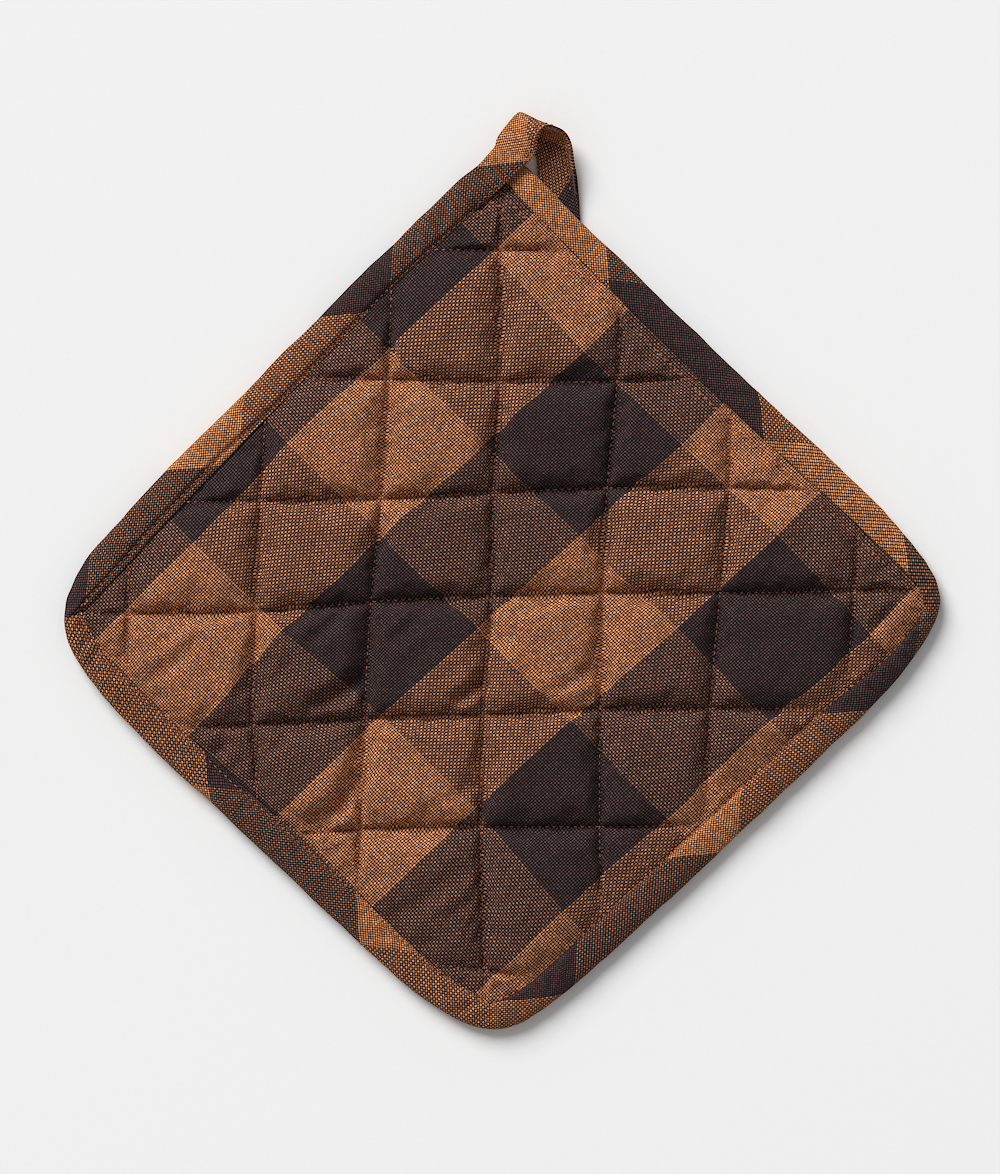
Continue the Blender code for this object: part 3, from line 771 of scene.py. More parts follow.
@dataclass
class Quilting:
    """The lines that the pad is sewn through along, and the cells between them."""

    flatness: float = 4.4            # higher is flatter in the middle of a cell
    shoulder: float = 0.54           # lower is steeper beside a seam
    crossing_rounds: int = 6         # of closing in on the place where two wavy lines cross
    profile_steps: int = 201

    def lines(self, x: np.ndarray, y: np.ndarray) -> tuple[np.ndarray, np.ndarray]:
        """The x of the lines going down and the y of those going across, at each place.

        Args:
            x: places across.
            y: places up.

        Returns:
            Both, by line and place.
        """
        down = np.array([smooth_table(LINE_ROWS_Y[::-1], row[::-1], y) for row in LINES_DOWN_X])
        across = np.array([smooth_table(LINE_COLUMNS_X, row, x) for row in LINES_ACROSS_Y])
        return down, across

    def cells(self, x: np.ndarray, y: np.ndarray) -> tuple[np.ndarray, ...]:
        """Find the cell of each place.

        Args:
            x: places across.
            y: places up.

        Returns:
            Left, right, lower and upper seam of the cell, then the place's share across and up it.
        """
        down, across = self.lines(x, y)
        column = np.clip((down <= x).sum(axis=0) - 1, 0, len(down) - 2)
        row = np.clip((across >= y).sum(axis=0) - 1, 0, len(across) - 2)
        places = np.arange(len(x))
        left, right = down[column, places], down[column + 1, places]
        upper, lower = across[row, places], across[row + 1, places]
        share_x = np.clip((x - left) / (right - left), 0, 1)
        share_y = np.clip((y - lower) / (upper - lower), 0, 1)
        return left, right, lower, upper, share_x, share_y

    def pillow(self, share: np.ndarray) -> np.ndarray:
        """Height across a cell: 0 on its seams and 1 in its middle."""
        return (1.0 - np.abs(2.0 * share - 1.0) ** self.flatness) ** self.shoulder

    def height(self, x: np.ndarray, y: np.ndarray) -> np.ndarray:
        """Height of the quilting at each place, from 0 on a seam to 1 in the middle of a cell."""
        _, _, _, _, share_x, share_y = self.cells(x, y)
        return self.pillow(share_x) * self.pillow(share_y)

    def lattice(self, steps: np.ndarray) -> tuple[np.ndarray, np.ndarray]:
        """Mesh points of the cells, on lines that follow the seams.

        Args:
            steps: shares across a cell at which a mesh line runs.

        Returns:
            The x and y of each point.
        """
        columns, rows = np.arange(len(LINES_DOWN_X) - 1), np.arange(len(LINES_ACROSS_Y) - 1)
        grids = np.meshgrid(columns, rows, steps, steps, indexing="ij")
        column, row, step_x, step_y = (grid.ravel() for grid in grids)
        places = np.arange(len(column))
        x, y = np.zeros(len(column)), np.zeros(len(column))
        for _ in range(self.crossing_rounds):
            down, across = self.lines(x, y)
            x = down[column, places] * (1 - step_x) + down[column + 1, places] * step_x
            y = across[row, places] * (1 - step_y) + across[row + 1, places] * step_y
        return x, y

    def unpuffed(self, x: np.ndarray, y: np.ndarray, rise: float) -> tuple[np.ndarray, np.ndarray]:
        """Where each place lay while the cloth was flat: more cloth goes into a cell's steep sides.

        Args:
            x: places across.
            y: places up.
            rise: height of a cell over its seams.

        Returns:
            The flat x and y, which agree with the plan on the seams.
        """
        left, right, lower, upper, share_x, share_y = self.cells(x, y)
        steps = np.linspace(0.0, 1.0, self.profile_steps)
        used = lengths_along(np.stack([steps * CELL, self.pillow(steps) * rise], axis=1))
        used /= used[-1]
        flat_x = share_x + (np.interp(share_x, steps, used) - share_x) * self.pillow(share_y)
        flat_y = share_y + (np.interp(share_y, steps, used) - share_y) * self.pillow(share_x)
        return left + (right - left) * flat_x, lower + (upper - lower) * flat_y


class SideSewing(NamedTuple):
    """Distance of one side's stitching from the tape's inner edge, and how that edge sags.

    The distances hold at the places of SEWN_AT. One is below 0 where the stitching missed the tape and lies
    on the pad beside it.
    """

    first: float
    middle: float
    last: float
    sag: float                       # how far its inner edge comes down, as a share of half the height


SEWN_AT = (0.0, 0.5, 0.62, 1.0)      # shares of a side at which its distances hold, the last one twice

# The upper left side was sewn from above, well inside the edge at its lower end. The upper right one was sewn
# from below, so that on this face its stitches lie on the pad.
SEWING = (
    SideSewing(0.6, 0.9, 2.6, 0.3), SideSewing(1.3, 1.3, 1.0, 0.36), SideSewing(0.6, 0.6, 0.6, 0.36),
    SideSewing(-3.6, -3.6, -3.6, 0.3), SideSewing(-3.6, -3.6, -3.6, 0.3),
)


@dataclass
class TapeRun:
    """One stretch of the bound edge: its two edges in the plan, its heights, its cut and its sewing."""

    outer: np.ndarray
    inner: np.ndarray
    low: np.ndarray
    high: np.ndarray
    cut: Cut
    start: float                     # distance of its first station along the whole tape
    sewing: SideSewing

    def along(self) -> np.ndarray:
        """Distance of each station along the whole tape."""
        return self.start + lengths_along(self.outer)

    def sewn_beside(self) -> bool:
        """Whether the stitching lies on the pad beside the tape."""
        return self.sewing.middle < 0

    def groove_places(self) -> np.ndarray:
        """Distance of the stitching from the inner edge at each station.

        Returns:
            One distance a station, below 0 on the pad beside the tape.
        """
        along = lengths_along(self.outer)
        first, middle, last, _ = self.sewing
        return np.interp(along / along[-1], SEWN_AT, (first, middle, last, last))


@dataclass
class EdgePlan:
    """The bound edge as five runs of tape: four sides, and the end that the loop covers."""

    spacing: float = 1.6             # between stations
    fewest: int = 8                  # stations in a run
    side_length: float = 100.0       # a run longer than this is a whole side of the pad
    closing: float = 0.5             # how much closer the stations of a side stand at its corners

    def runs(self) -> list[TapeRun]:
        """Lay the stations along every run, anticlockwise from the loop to the tape's covered end.

        Returns:
            The five runs in that order.
        """
        covered, covered_inner = (smooth_curve([place[:2] for place in line])
                                  for line in (COVERED_OUTLINE, COVERED_INNER_EDGE))
        outer_sides = self._sides(OUTLINE, True) + [covered]
        inner_sides = self._sides(INNER_EDGE, False) + [covered_inner]
        heights = [FULL_HEIGHT] * 3 + [HEIGHTS_BY_LOOP, COVERED_HEIGHTS]
        cuts = [Cut.UPPER_LEFT, Cut.LOWER_LEFT, Cut.LOWER_RIGHT, Cut.UPPER_RIGHT, Cut.UPPER_RIGHT]
        runs: list[TapeRun] = []
        start = 0.0
        for outer, inner, table, cut, sewing in zip(outer_sides, inner_sides, heights, cuts, SEWING):
            length = lengths_along(outer)[-1]
            shares = np.linspace(0.0, 1.0, max(self.fewest, round(length / self.spacing)))
            if length > self.side_length:
                shares = shares - self.closing * np.sin(2 * np.pi * shares) / (2 * np.pi)
            distance = length * (1.0 - shares if table is HEIGHTS_BY_LOOP else shares)
            places, lows, highs = zip(*table)
            runs.append(TapeRun(at_shares(outer, shares), at_shares(inner, shares),
                                np.interp(distance, places, lows), np.interp(distance, places, highs), cut,
                                start, sewing))
            start += length
        return runs

    @staticmethod
    def _sides(places: Sequence[Place], round_corners: bool) -> list[np.ndarray]:
        """Split an edge at its corners, rounded by one curve or left sharp.

        Args:
            places: the edge's places.
            round_corners: whether one curve goes round the corners.

        Returns:
            One polyline a side.
        """
        flat = [(place.x, place.y) for place in places]
        ends = [0] + [index for index, place in enumerate(places) if place.corner]
        if round_corners:
            line = smooth_curve(flat)
            return [line[a * PER_SPAN:b * PER_SPAN + 1] for a, b in zip(ends, ends[1:])]
        return [smooth_curve(flat[a:b + 1]) for a, b in zip(ends, ends[1:])]


@dataclass
class Rim:
    """The closed line of the tape's inner edge, where the open face of the pad starts."""

    runs: list[TapeRun]
    places: np.ndarray = field(init=False)
    sides: np.ndarray = field(init=False)        # low and high side of the bound edge at each place
    tree: KDTree = field(init=False)

    def __post_init__(self) -> None:
        """Join the runs' inner edges into one ring and index it."""
        parts = [np.column_stack([run.inner, run.low, run.high])[:-1] for run in self.runs]
        joined = np.concatenate(parts)[1:]
        self.places, self.sides = joined[:, :2], joined[:, 2:]
        self.tree = KDTree(len(self.places))
        for index, (x, y) in enumerate(self.places):
            self.tree.insert((x, y, 0.0), index)
        self.tree.balance()

    def contains(self, x: np.ndarray, y: np.ndarray) -> np.ndarray:
        """True for each place inside the ring, by counting crossings to the right.

        Args:
            x: places across.
            y: places up.

        Returns:
            One truth value a place.
        """
        inside = np.zeros(len(x), bool)
        for (ax, ay), (bx, by) in zip(self.places, np.roll(self.places, -1, axis=0)):
            if ay != by:
                crosses = (ay > y) != (by > y)
                inside ^= crosses & (ax + (y - ay) * (bx - ax) / (by - ay) > x)
        return inside

    def nearest(self, x: np.ndarray, y: np.ndarray) -> tuple[np.ndarray, np.ndarray, np.ndarray]:
        """Distance of each place to the ring, and the low and high side of the bound edge there.

        Args:
            x: places across.
            y: places up.

        Returns:
            The distances, the low sides and the high sides.
        """
        after = np.roll(self.places, -1, axis=0)
        before = np.roll(self.places, 1, axis=0)
        index = np.array([self.tree.find((px, py, 0.0))[1] for px, py in zip(x, y)])
        spot = np.stack([x, y], axis=1)
        here = self.places[index]
        best = np.full(len(x), np.inf)
        for other in (after[index], before[index]):
            step = other - here
            share = np.clip(((spot - here) * step).sum(axis=1) / (step * step).sum(axis=1), 0, 1)
            best = np.minimum(best, np.linalg.norm(spot - here - step * share[:, None], axis=1))
        return best, self.sides[index, 0], self.sides[index, 1]


@dataclass
class QuiltedPad:
    """The filled pad: checked cloth over wadding, sewn through along the quilting lines."""

    quilting: Quilting
    rim: Rim
    cloth: CheckedCotton
    seam_top: float = 5.2            # the upper face on a quilting line
    seam_groove: float = 0.55        # how much deeper the thread pulls the line itself
    groove_width: float = 0.9
    pull_reach: float = 4.0          # how far from a seam the cloth ruckles
    seam_bottom: float = 1.7
    cell_top: float = 10.0           # the crown of a full cell
    edge_rise: float = 19.0          # distance over which a cell rises from the bound edge
    lip_share: float = 0.85          # where the cloth comes out of the tape, from its middle to its top
    lip_blend: float = 9.0           # distance over which it goes on from there to its own height
    tape_and_gap: float = 1.35       # the tape's side and the gap under it
    unrest_slope: float = 4.0        # the unrest fades out where a cell is lower than 1 over this
    table_slope: float = 1.5         # the back lies on the table where a cell is higher than 1 over this
    crease_margin: float = 1.3       # creases fade out this near a seam
    crease_taper: int = 4            # higher keeps a crease deep nearer to its ends
    ridge: float = 0.25              # height of the two ridges beside a crease, to its depth
    ridge_place: float = 1.7         # and their place, to its width
    face_step: float = 1.25          # mesh size of the face cloth
    back_step: float = 3.2
    crowding: float = 0.07           # how far mesh lines move towards the seams
    rim_clearance: float = 0.6       # share of the mesh size that is kept free beside the tape
    seam_share: float = 0.3          # of a mesh step: a point this near a seam is on it
    weld: float = 1e-5               # two mesh points this near each other are one
    decimals: int = 4                # by which the doubles of the cells' lattice are told
    check_slack: float = 0.2         # share of a cell's rise that spreads the check
    fill: float = 0.45
    sim_scale: float = 20.0          # the cloth is simulated larger by this, as suits the solver
    sim_frames: int = 16
    most_shift: float = 1.2          # how far the simulation may move a point
    line_reach: float = 150.0        # the quilting lines are followed this far either way
    line_step: float = 0.5
    line_end: float = 0.6            # distance from the tape at which a line ends
    fewest_points: int = 8           # of a line that is worth sewing
    overhead: float = 50.0           # a height over everything, to look down from
    stitch_lift: float = 0.2         # height of the thread's middle over the cloth
    surface: BVHTree = field(init=False)

    UNREST = (Ripple(16.0, 0.16, 3), Ripple(7.0, 0.05, 4))
    HIDDEN_ROWS = ((0.35, 3.0), (0.5, 4.2), (0.65, 3.0))       # share of the way down, and depth in the tape
    SOLVER = {
        "quality": 5,
        "mass": 0.2,
        "tension_stiffness": 12.0,
        "compression_stiffness": 12.0,
        "shear_stiffness": 4.0,
        "bending_stiffness": 0.25,
        "tension_damping": 15.0,
        "compression_damping": 15.0,
        "shear_damping": 15.0,
        "bending_damping": 1.0,
        "air_damping": 4.0,
        "shrink_min": -0.03,         # below 0: the cloth grows a little, and puckers
        "use_pressure": True,
        "uniform_pressure_force": 0.8,
    }

    def from_seam(self, x: np.ndarray, y: np.ndarray) -> np.ndarray:
        """Distance of each place from the nearest quilting line.

        Args:
            x: places across.
            y: places up.

        Returns:
            One distance a place.
        """
        left, right, lower, upper, share_x, share_y = self.quilting.cells(x, y)
        return np.minimum(np.minimum(share_x, 1 - share_x) * (right - left),
                          np.minimum(share_y, 1 - share_y) * (upper - lower))

    def pull(self, x: np.ndarray, y: np.ndarray) -> np.ndarray:
        """How much the seams and the tape pull the cloth at each place, from 0 to 1."""
        near = np.minimum(self.from_seam(x, y), self.rim.nearest(x, y)[0])
        return np.exp(-(near / self.pull_reach) ** 2)

    def heights(self, x: np.ndarray, y: np.ndarray, above: bool) -> np.ndarray:
        """Height of one face of the pad before the cloth settles.

        Args:
            x: places across.
            y: places up.
            above: the face cloth, or else the back cloth.

        Returns:
            The height of each place.
        """
        distance, low, high = self.rim.nearest(x, y)
        settle = smooth_step(np.minimum(distance / self.lip_blend, 1.0))
        rise = 1.0 - (1.0 - np.minimum(distance / self.edge_rise, 1.0)) ** 2
        quilt = self.quilting.height(x, y) * rise
        middle = (low + high) / 2
        if above:
            lip = middle + self.lip_share * (high - self.tape_and_gap - middle)
            base = lip + (self.seam_top - lip) * settle
            unrest = sum(ripple.at(x, y) for ripple in self.UNREST)
            groove = self.seam_groove * np.exp(-(self.from_seam(x, y) / self.groove_width) ** 2) * settle
            top = base + (self.cell_top - self.seam_top) * quilt - groove
            return top + unrest * np.sqrt(quilt) * np.minimum(quilt * self.unrest_slope, 1.0)
        base = low + self.tape_and_gap + (self.seam_bottom - low - self.tape_and_gap) * settle
        return base * (1.0 - np.minimum(quilt * self.table_slope, 1.0))

    def creases(self, x: np.ndarray, y: np.ndarray) -> np.ndarray:
        """Depth of the creases at each place, none on a seam; the cloth beside one stands up a little.

        Args:
            x: places across.
            y: places up.

        Returns:
            How far each place lies lower, below 0 on a ridge.
        """
        depth = np.zeros(len(x))
        for crease in CREASES:
            start = np.array([crease.from_x, crease.from_y])
            run = np.array([crease.to_x, crease.to_y]) - start
            length = np.linalg.norm(run)
            offset = np.stack([x, y], axis=1) - start
            share = (offset @ run) / length ** 2
            side = (offset @ np.array([-run[1], run[0]])) / length
            side = side - crease.bow * (1.0 - (2 * share - 1) ** 2)
            taper = np.clip(1.0 - np.abs(2 * share - 1) ** self.crease_taper, 0.0, 1.0)
            across = side / crease.width
            ridges = self.ridge * np.exp(-(np.abs(across) - self.ridge_place) ** 2)
            depth += crease.depth * taper * (np.exp(-across ** 2) - ridges)
        clear = np.minimum(self.rim.nearest(x, y)[0], self.from_seam(x, y))
        return depth * np.minimum(clear / self.crease_margin, 1.0)

    def face(self, step: float, above: bool) -> tuple[np.ndarray, list, dict, np.ndarray]:
        """Mesh one face of the pad inside the rim.

        Args:
            step: mesh size.
            above: the face cloth, or else the back cloth.

        Returns:
            Its points, its triangles, the point of each rim place, and which points lie on a seam.
        """
        count = round(CELL / step)
        steps = np.linspace(0.0, 1.0, count, endpoint=False)
        x, y = self.quilting.lattice(steps - self.crowding * np.sin(2 * np.pi * steps))
        inside = self.rim.contains(x, y)
        x, y = x[inside], y[inside]
        clear = self.rim.nearest(x, y)[0] > step * self.rim_clearance
        places = np.unique(np.round(np.stack([x[clear], y[clear]], axis=1), self.decimals), axis=0)
        edge = self.rim.places.tolist()
        ring = [(index, (index + 1) % len(edge)) for index in range(len(edge))]
        made, _, faces, origins, _, _ = delaunay_2d_cdt(edge + places.tolist(), ring, [], 1, self.weld)
        x, y = np.array([tuple(place) for place in made]).T
        points = np.stack([x, y, self.heights(x, y, above)], axis=1)
        rim_points = {origin: index for index, ids in enumerate(origins)
                      for origin in ids if origin < len(edge)}
        _, _, _, _, share_x, share_y = self.quilting.cells(x, y)
        near = self.seam_share / count
        on_seam = (np.minimum(share_x, 1 - share_x) < near) | (np.minimum(share_y, 1 - share_y) < near)
        return points, faces, rim_points, on_seam

    def settle(self, points: np.ndarray, faces: list, held: np.ndarray) -> np.ndarray:
        """Let the face cloth swell and pucker between its seams in a cloth simulation.

        Args:
            points: the face cloth's points.
            faces: its triangles.
            held: which points the seams and the tape hold.

        Returns:
            The settled points.
        """
        sheet = make_object("settling_cloth", points * self.sim_scale, faces)
        group = sheet.vertex_groups.new(name="held")
        group.add(np.nonzero(held)[0].tolist(), 1.0, "REPLACE")
        cloth = sheet.modifiers.new("Cloth", "CLOTH")
        for setting, value in self.SOLVER.items():
            setattr(cloth.settings, setting, value)
        cloth.settings.vertex_group_mass = group.name
        cloth.settings.effector_weights.gravity = 0.0
        cloth.collision_settings.use_collision = False
        scene = bpy.context.scene
        cloth.point_cache.frame_start, cloth.point_cache.frame_end = 1, self.sim_frames + 1
        for number in range(1, self.sim_frames + 1):
            scene.frame_set(number)
        made = sheet.evaluated_get(bpy.context.evaluated_depsgraph_get()).to_mesh()
        moved = np.empty(len(points) * 3)
        made.vertices.foreach_get("co", moved)
        moved = moved.reshape(-1, 3) / MM / self.sim_scale
        scene.frame_set(1)
        bpy.data.objects.remove(sheet, do_unlink=True)
        shift = moved - points
        size = np.linalg.norm(shift, axis=1, keepdims=True)
        log.info("cloth settled: most shift %.2f mm, mean %.2f mm", size.max(), size.mean())
        tiny = 1e-9                      # keeps the share finite where nothing moved
        return points + shift * np.minimum(1.0, self.most_shift / np.maximum(size, tiny))

    def threads(self, x: np.ndarray, y: np.ndarray) -> np.ndarray:
        """Yarn numbers at each place of the pad's cloth.

        Args:
            x: places across.
            y: places up.

        Returns:
            Both yarn numbers in the last axis.
        """
        flat_x, flat_y = self.quilting.unpuffed(x, y, self.check_slack * (self.cell_top - self.seam_top))
        across = flat_x * math.cos(PAD_TURN) + flat_y * math.sin(PAD_TURN)
        down = flat_x * math.sin(PAD_TURN) - flat_y * math.cos(PAD_TURN)
        columns, rows = (np.array(stripes.changes) for stripes in Cut.PAD.value)
        columns = np.concatenate([[2 * columns[0] - columns[1]], columns])
        bends = []
        for table in (CROSSING_ACROSS, CROSSING_DOWN):
            by_column = np.array([np.interp(down, rows, row) for row in table])
            place = np.interp(across, columns, np.arange(len(columns)))
            before = np.minimum(place.astype(int), len(columns) - 2)
            share = place - before
            spots = np.arange(len(across))
            bends.append(by_column[before, spots] * (1 - share) + by_column[before + 1, spots] * share)
        return Cut.PAD.threads(across - bends[0], down - bends[1], self.cloth)

    def build(self, material: bpy.types.Material) -> bpy.types.Object:
        """Build the closed pad: both faces, and the edge inside the tape.

        Args:
            material: the cloth.

        Returns:
            The pad's object.
        """
        points, faces, rim_points, on_seam = self.face(self.face_step, True)
        uvs = self.threads(points[:, 0], points[:, 1])
        pulled = self.pull(points[:, 0], points[:, 1])
        held = on_seam.copy()
        held[list(rim_points.values())] = True
        points = self.settle(points, faces, held)
        points[:, 2] -= self.creases(points[:, 0], points[:, 1])
        self.surface = BVHTree.FromPolygons(points.tolist(), [list(face) for face in faces])
        back, back_faces, back_rim, _ = self.face(self.back_step, False)
        back_uvs = self.threads(back[:, 0], back[:, 1])
        all_points, all_uvs = [points, back], [uvs, back_uvs]
        all_faces = [list(face) for face in faces]
        all_faces += [[index + len(points) for index in face[::-1]] for face in back_faces]
        ring = np.array([rim_points[index] for index in range(len(self.rim.places))])
        back_ring = np.array([back_rim[index] for index in range(len(self.rim.places))]) + len(points)
        count = len(points) + len(back)
        rows = [ring]
        outward = self._outward()
        for share, depth in self.HIDDEN_ROWS:
            place = self.rim.places + outward * depth
            height = points[ring, 2] * (1 - share) + back[back_ring - len(points), 2] * share
            all_points.append(np.column_stack([place, height]))
            all_uvs.append(self.threads(place[:, 0], place[:, 1]))
            rows.append(np.arange(len(ring)) + count)
            count += len(ring)
        rows.append(back_ring)
        for first, second in zip(rows, rows[1:]):
            for index in range(len(ring)):
                after = (index + 1) % len(ring)
                all_faces.append([first[after], first[index], second[index], second[after]])
        vertex_uvs = np.concatenate(all_uvs)
        corners = np.concatenate([np.asarray(face) for face in all_faces])
        all_points = np.concatenate(all_points)
        pulled = np.concatenate([pulled, np.zeros(len(all_points) - len(pulled))])
        return make_object("pad_cloth", all_points, all_faces, vertex_uvs[corners], pulled, material)

    def _outward(self) -> np.ndarray:
        """Unit vector across the rim at each of its places, away from the pad's middle.

        Returns:
            One vector a place.
        """
        along = np.roll(self.rim.places, -1, axis=0) - np.roll(self.rim.places, 1, axis=0)
        return unit(np.column_stack([along[:, 1], -along[:, 0]]))

    def seams(self) -> list[np.ndarray]:
        """The sewing on the face cloth, raised a little: the quilting lines, and the tape's where it missed.

        Returns:
            One polyline for each line.
        """
        found = []
        steps = np.arange(-self.line_reach, self.line_reach, self.line_step)
        for index in range(1, len(LINES_DOWN_X) - 1):
            x = smooth_table(LINE_ROWS_Y[::-1], LINES_DOWN_X[index][::-1], steps)
            found.append(np.column_stack([x, steps]))
        for index in range(1, len(LINES_ACROSS_Y) - 1):
            y = smooth_table(LINE_COLUMNS_X, LINES_ACROSS_Y[index], steps)
            found.append(np.column_stack([steps, y]))
        found.append(smooth_curve([place[:2] for place in BACK_TACK]))
        for run in self.rim.runs:
            if run.sewn_beside():
                found.append(run.inner - unit(run.inner - run.outer) * run.sewing.middle)
        lines = []
        for line in found:
            inside = self.rim.contains(line[:, 0], line[:, 1])
            inside[inside] = self.rim.nearest(line[inside, 0], line[inside, 1])[0] > self.line_end
            line = line[inside]
            if len(line) > self.fewest_points:
                height = [self.surface.ray_cast((x, y, self.overhead), (0.0, 0.0, -1.0))[0].z
                          for x, y in line]
                lines.append(np.column_stack([line, np.array(height) + self.stitch_lift]))
        return lines


@dataclass
class EdgeTape:
    """The bias tape folded round the pad's edge, with its mitres, stitched groove and puckers."""

    runs: list[TapeRun]
    cloth: CheckedCotton
    thickness: float = 1.0           # one folded side, two layers of cloth
    groove_depth: float = 1.0
    groove_width: float = 0.8
    pull_reach: float = 3.0          # how far from the stitching the tape ruckles
    drag_start: float = 0.25         # share of the way in at which the sewing ruckles are full
    drag_end: float = 0.8            # and from which they fade
    drag_lost: float = 0.7           # by this much, up to the inner edge
    sag_start: float = 0.5           # share of the way in from which the side comes down
    fullness: float = 3.2            # of the fold: higher is blunter
    bias_pull: float = 1.15          # the pulled tape is narrower than it was cut
    mitre_depth: float = 0.5
    mitre_width: float = 1.6
    mitre_slope: float = 1.6         # a mitre is at its full depth from 1 over this of the way in
    fewest_mitred: int = 30          # stations of a run with mitres, which the covered end has not
    unsewn: int = 2                  # stations without stitches at either end of a side
    stitch_lift: float = 0.05        # height of the thread's middle over the groove

    # Places across the tape, as shares of the way in from the fold: on top, underneath, and on the inner side
    # of both. The edge rows are a share of the way in, and a depth as a share of the thickness.
    TOP_SHARES = (
        0.0, 0.012, 0.035, 0.07, 0.12, 0.19, 0.28, 0.38, 0.48, 0.57, 0.64, 0.70, 0.74, 0.78, 0.82, 0.86, 0.91,
        0.96, 0.99,
    )
    UNDER_SHARES = (0.012, 0.04, 0.1, 0.2, 0.36, 0.64, 0.99)
    INSIDE_SHARES = (0.0, 0.1, 0.42, 0.99)
    EDGE_ROWS = ((1.0, 0.22), (1.0, 0.75), (0.985, 1.0))

    EASE = (Ripple(22.0, 0.12, 11), Ripple(6.0, 0.05, 12))     # how the tape's width varies
    DRAG = ((Ripple(7.0, 0.17, 21), 1.0), (Ripple(3.8, 0.17, 22), -0.6))     # sewing ruckles and their slant

    def section(self, run: TapeRun) -> np.ndarray:
        """Points of the tape's section at each station of a run.

        Args:
            run: the stretch of tape.

        Returns:
            Points by station and row: under the lower side, round the fold, over the top, and back inside.
        """
        along = run.along()
        step = run.outer - run.inner
        width = np.linalg.norm(step, axis=1)
        ease = sum(ripple.at(along) for ripple in self.EASE)
        outer = run.outer + step / width[:, None] * ease[:, None]
        width = width + ease
        middle = (run.low + run.high) / 2
        full = (run.high - run.low) / EDGE_HEIGHT
        from_corner = np.minimum(along - along[0], along[-1] - along)
        mitre = np.exp(-(from_corner / self.mitre_width) ** 2) * (len(along) > self.fewest_mitred)
        groove_at = run.groove_places()

        def point(share: float | np.ndarray, height: np.ndarray) -> np.ndarray:
            """Place a height over a share of the way in from the fold."""
            return np.column_stack([outer + (run.inner - outer) * share, height])

        rows = []
        for share in self.UNDER_SHARES[::-1]:
            rows.append(point(share, middle - (middle - run.low) * self._crown(share)))
        for share in self.TOP_SHARES:
            from_inner = (1 - share) * width
            groove = self.groove_depth * full * np.exp(-((from_inner - groove_at) / self.groove_width) ** 2)
            drag = sum(ripple.at(along + slant * from_inner) for ripple, slant in self.DRAG)
            sag = run.sewing.sag * self._past(share, self.sag_start) ** 2
            height = middle + (run.high - middle) * (self._crown(share) - sag)
            fade = min(1.0, share / self.drag_start)
            fade *= 1.0 - self.drag_lost * self._past(share, self.drag_end)
            folded = self.mitre_depth * mitre * min(1.0, share * self.mitre_slope)
            rows.append(point(share, height - groove + (drag * fade - folded) * full))
        edge = rows[-1][:, 2]
        for share, depth in self.EDGE_ROWS:
            rows.append(point(share, edge - depth * self.thickness))
        inset = (self.thickness / width)[:, None]
        top, bottom = run.high - self.thickness - middle, run.low + self.thickness - middle
        for side, shares in ((top, self.INSIDE_SHARES[:0:-1][1:]), (bottom, self.INSIDE_SHARES)):
            for share in shares:
                rows.append(point(share + (1 - share) * inset, middle + side * self._crown(share)))
        return np.stack(rows, axis=1)

    def _crown(self, share: float) -> float:
        """Height of the section over its middle, from 0 at the fold to 1."""
        return (1.0 - (1.0 - share) ** self.fullness) ** 0.5

    @staticmethod
    def _past(share: float, start: float) -> float:
        """How far a share has come from a start to 1, and 0 before it."""
        return max(0.0, (share - start) / (1.0 - start))

    def unrolled(self, run: TapeRun, section: np.ndarray) -> np.ndarray:
        """Where each point of the section lies in the plan when the tape is opened out from its inner edge.

        Args:
            run: the stretch of tape.
            section: its points by station and row.

        Returns:
            Plan places by station and row; past the fold they run on outwards.
        """
        top = len(self.UNDER_SHARES) + len(self.TOP_SHARES) - 1
        steps = np.linalg.norm(np.diff(section, axis=1), axis=2)
        travelled = np.concatenate([np.zeros((len(section), 1)), np.cumsum(steps, axis=1)], axis=1)
        from_inner = travelled[:, top:top + 1] - travelled
        across = run.outer - run.inner
        width = np.linalg.norm(across, axis=1, keepdims=True)
        from_inner = width / 2 + (from_inner - width / 2) * self.bias_pull
        return run.inner[:, None, :] + (across / width)[:, None, :] * from_inner[:, :, None]

    def pull(self, run: TapeRun, rows: int) -> np.ndarray:
        """How much the stitching pulls the tape at each station and row of a run, from 0 to 1.

        Args:
            run: the stretch of tape.
            rows: rows in its section.

        Returns:
            The pull by station and row.
        """
        pulled = np.zeros((len(run.outer), rows))
        width = np.linalg.norm(run.outer - run.inner, axis=1)
        for row, share in enumerate(self.TOP_SHARES, len(self.UNDER_SHARES)):
            from_groove = (1 - share) * width - run.groove_places()
            pulled[:, row] = np.exp(-(from_groove / self.pull_reach) ** 2)
        return pulled

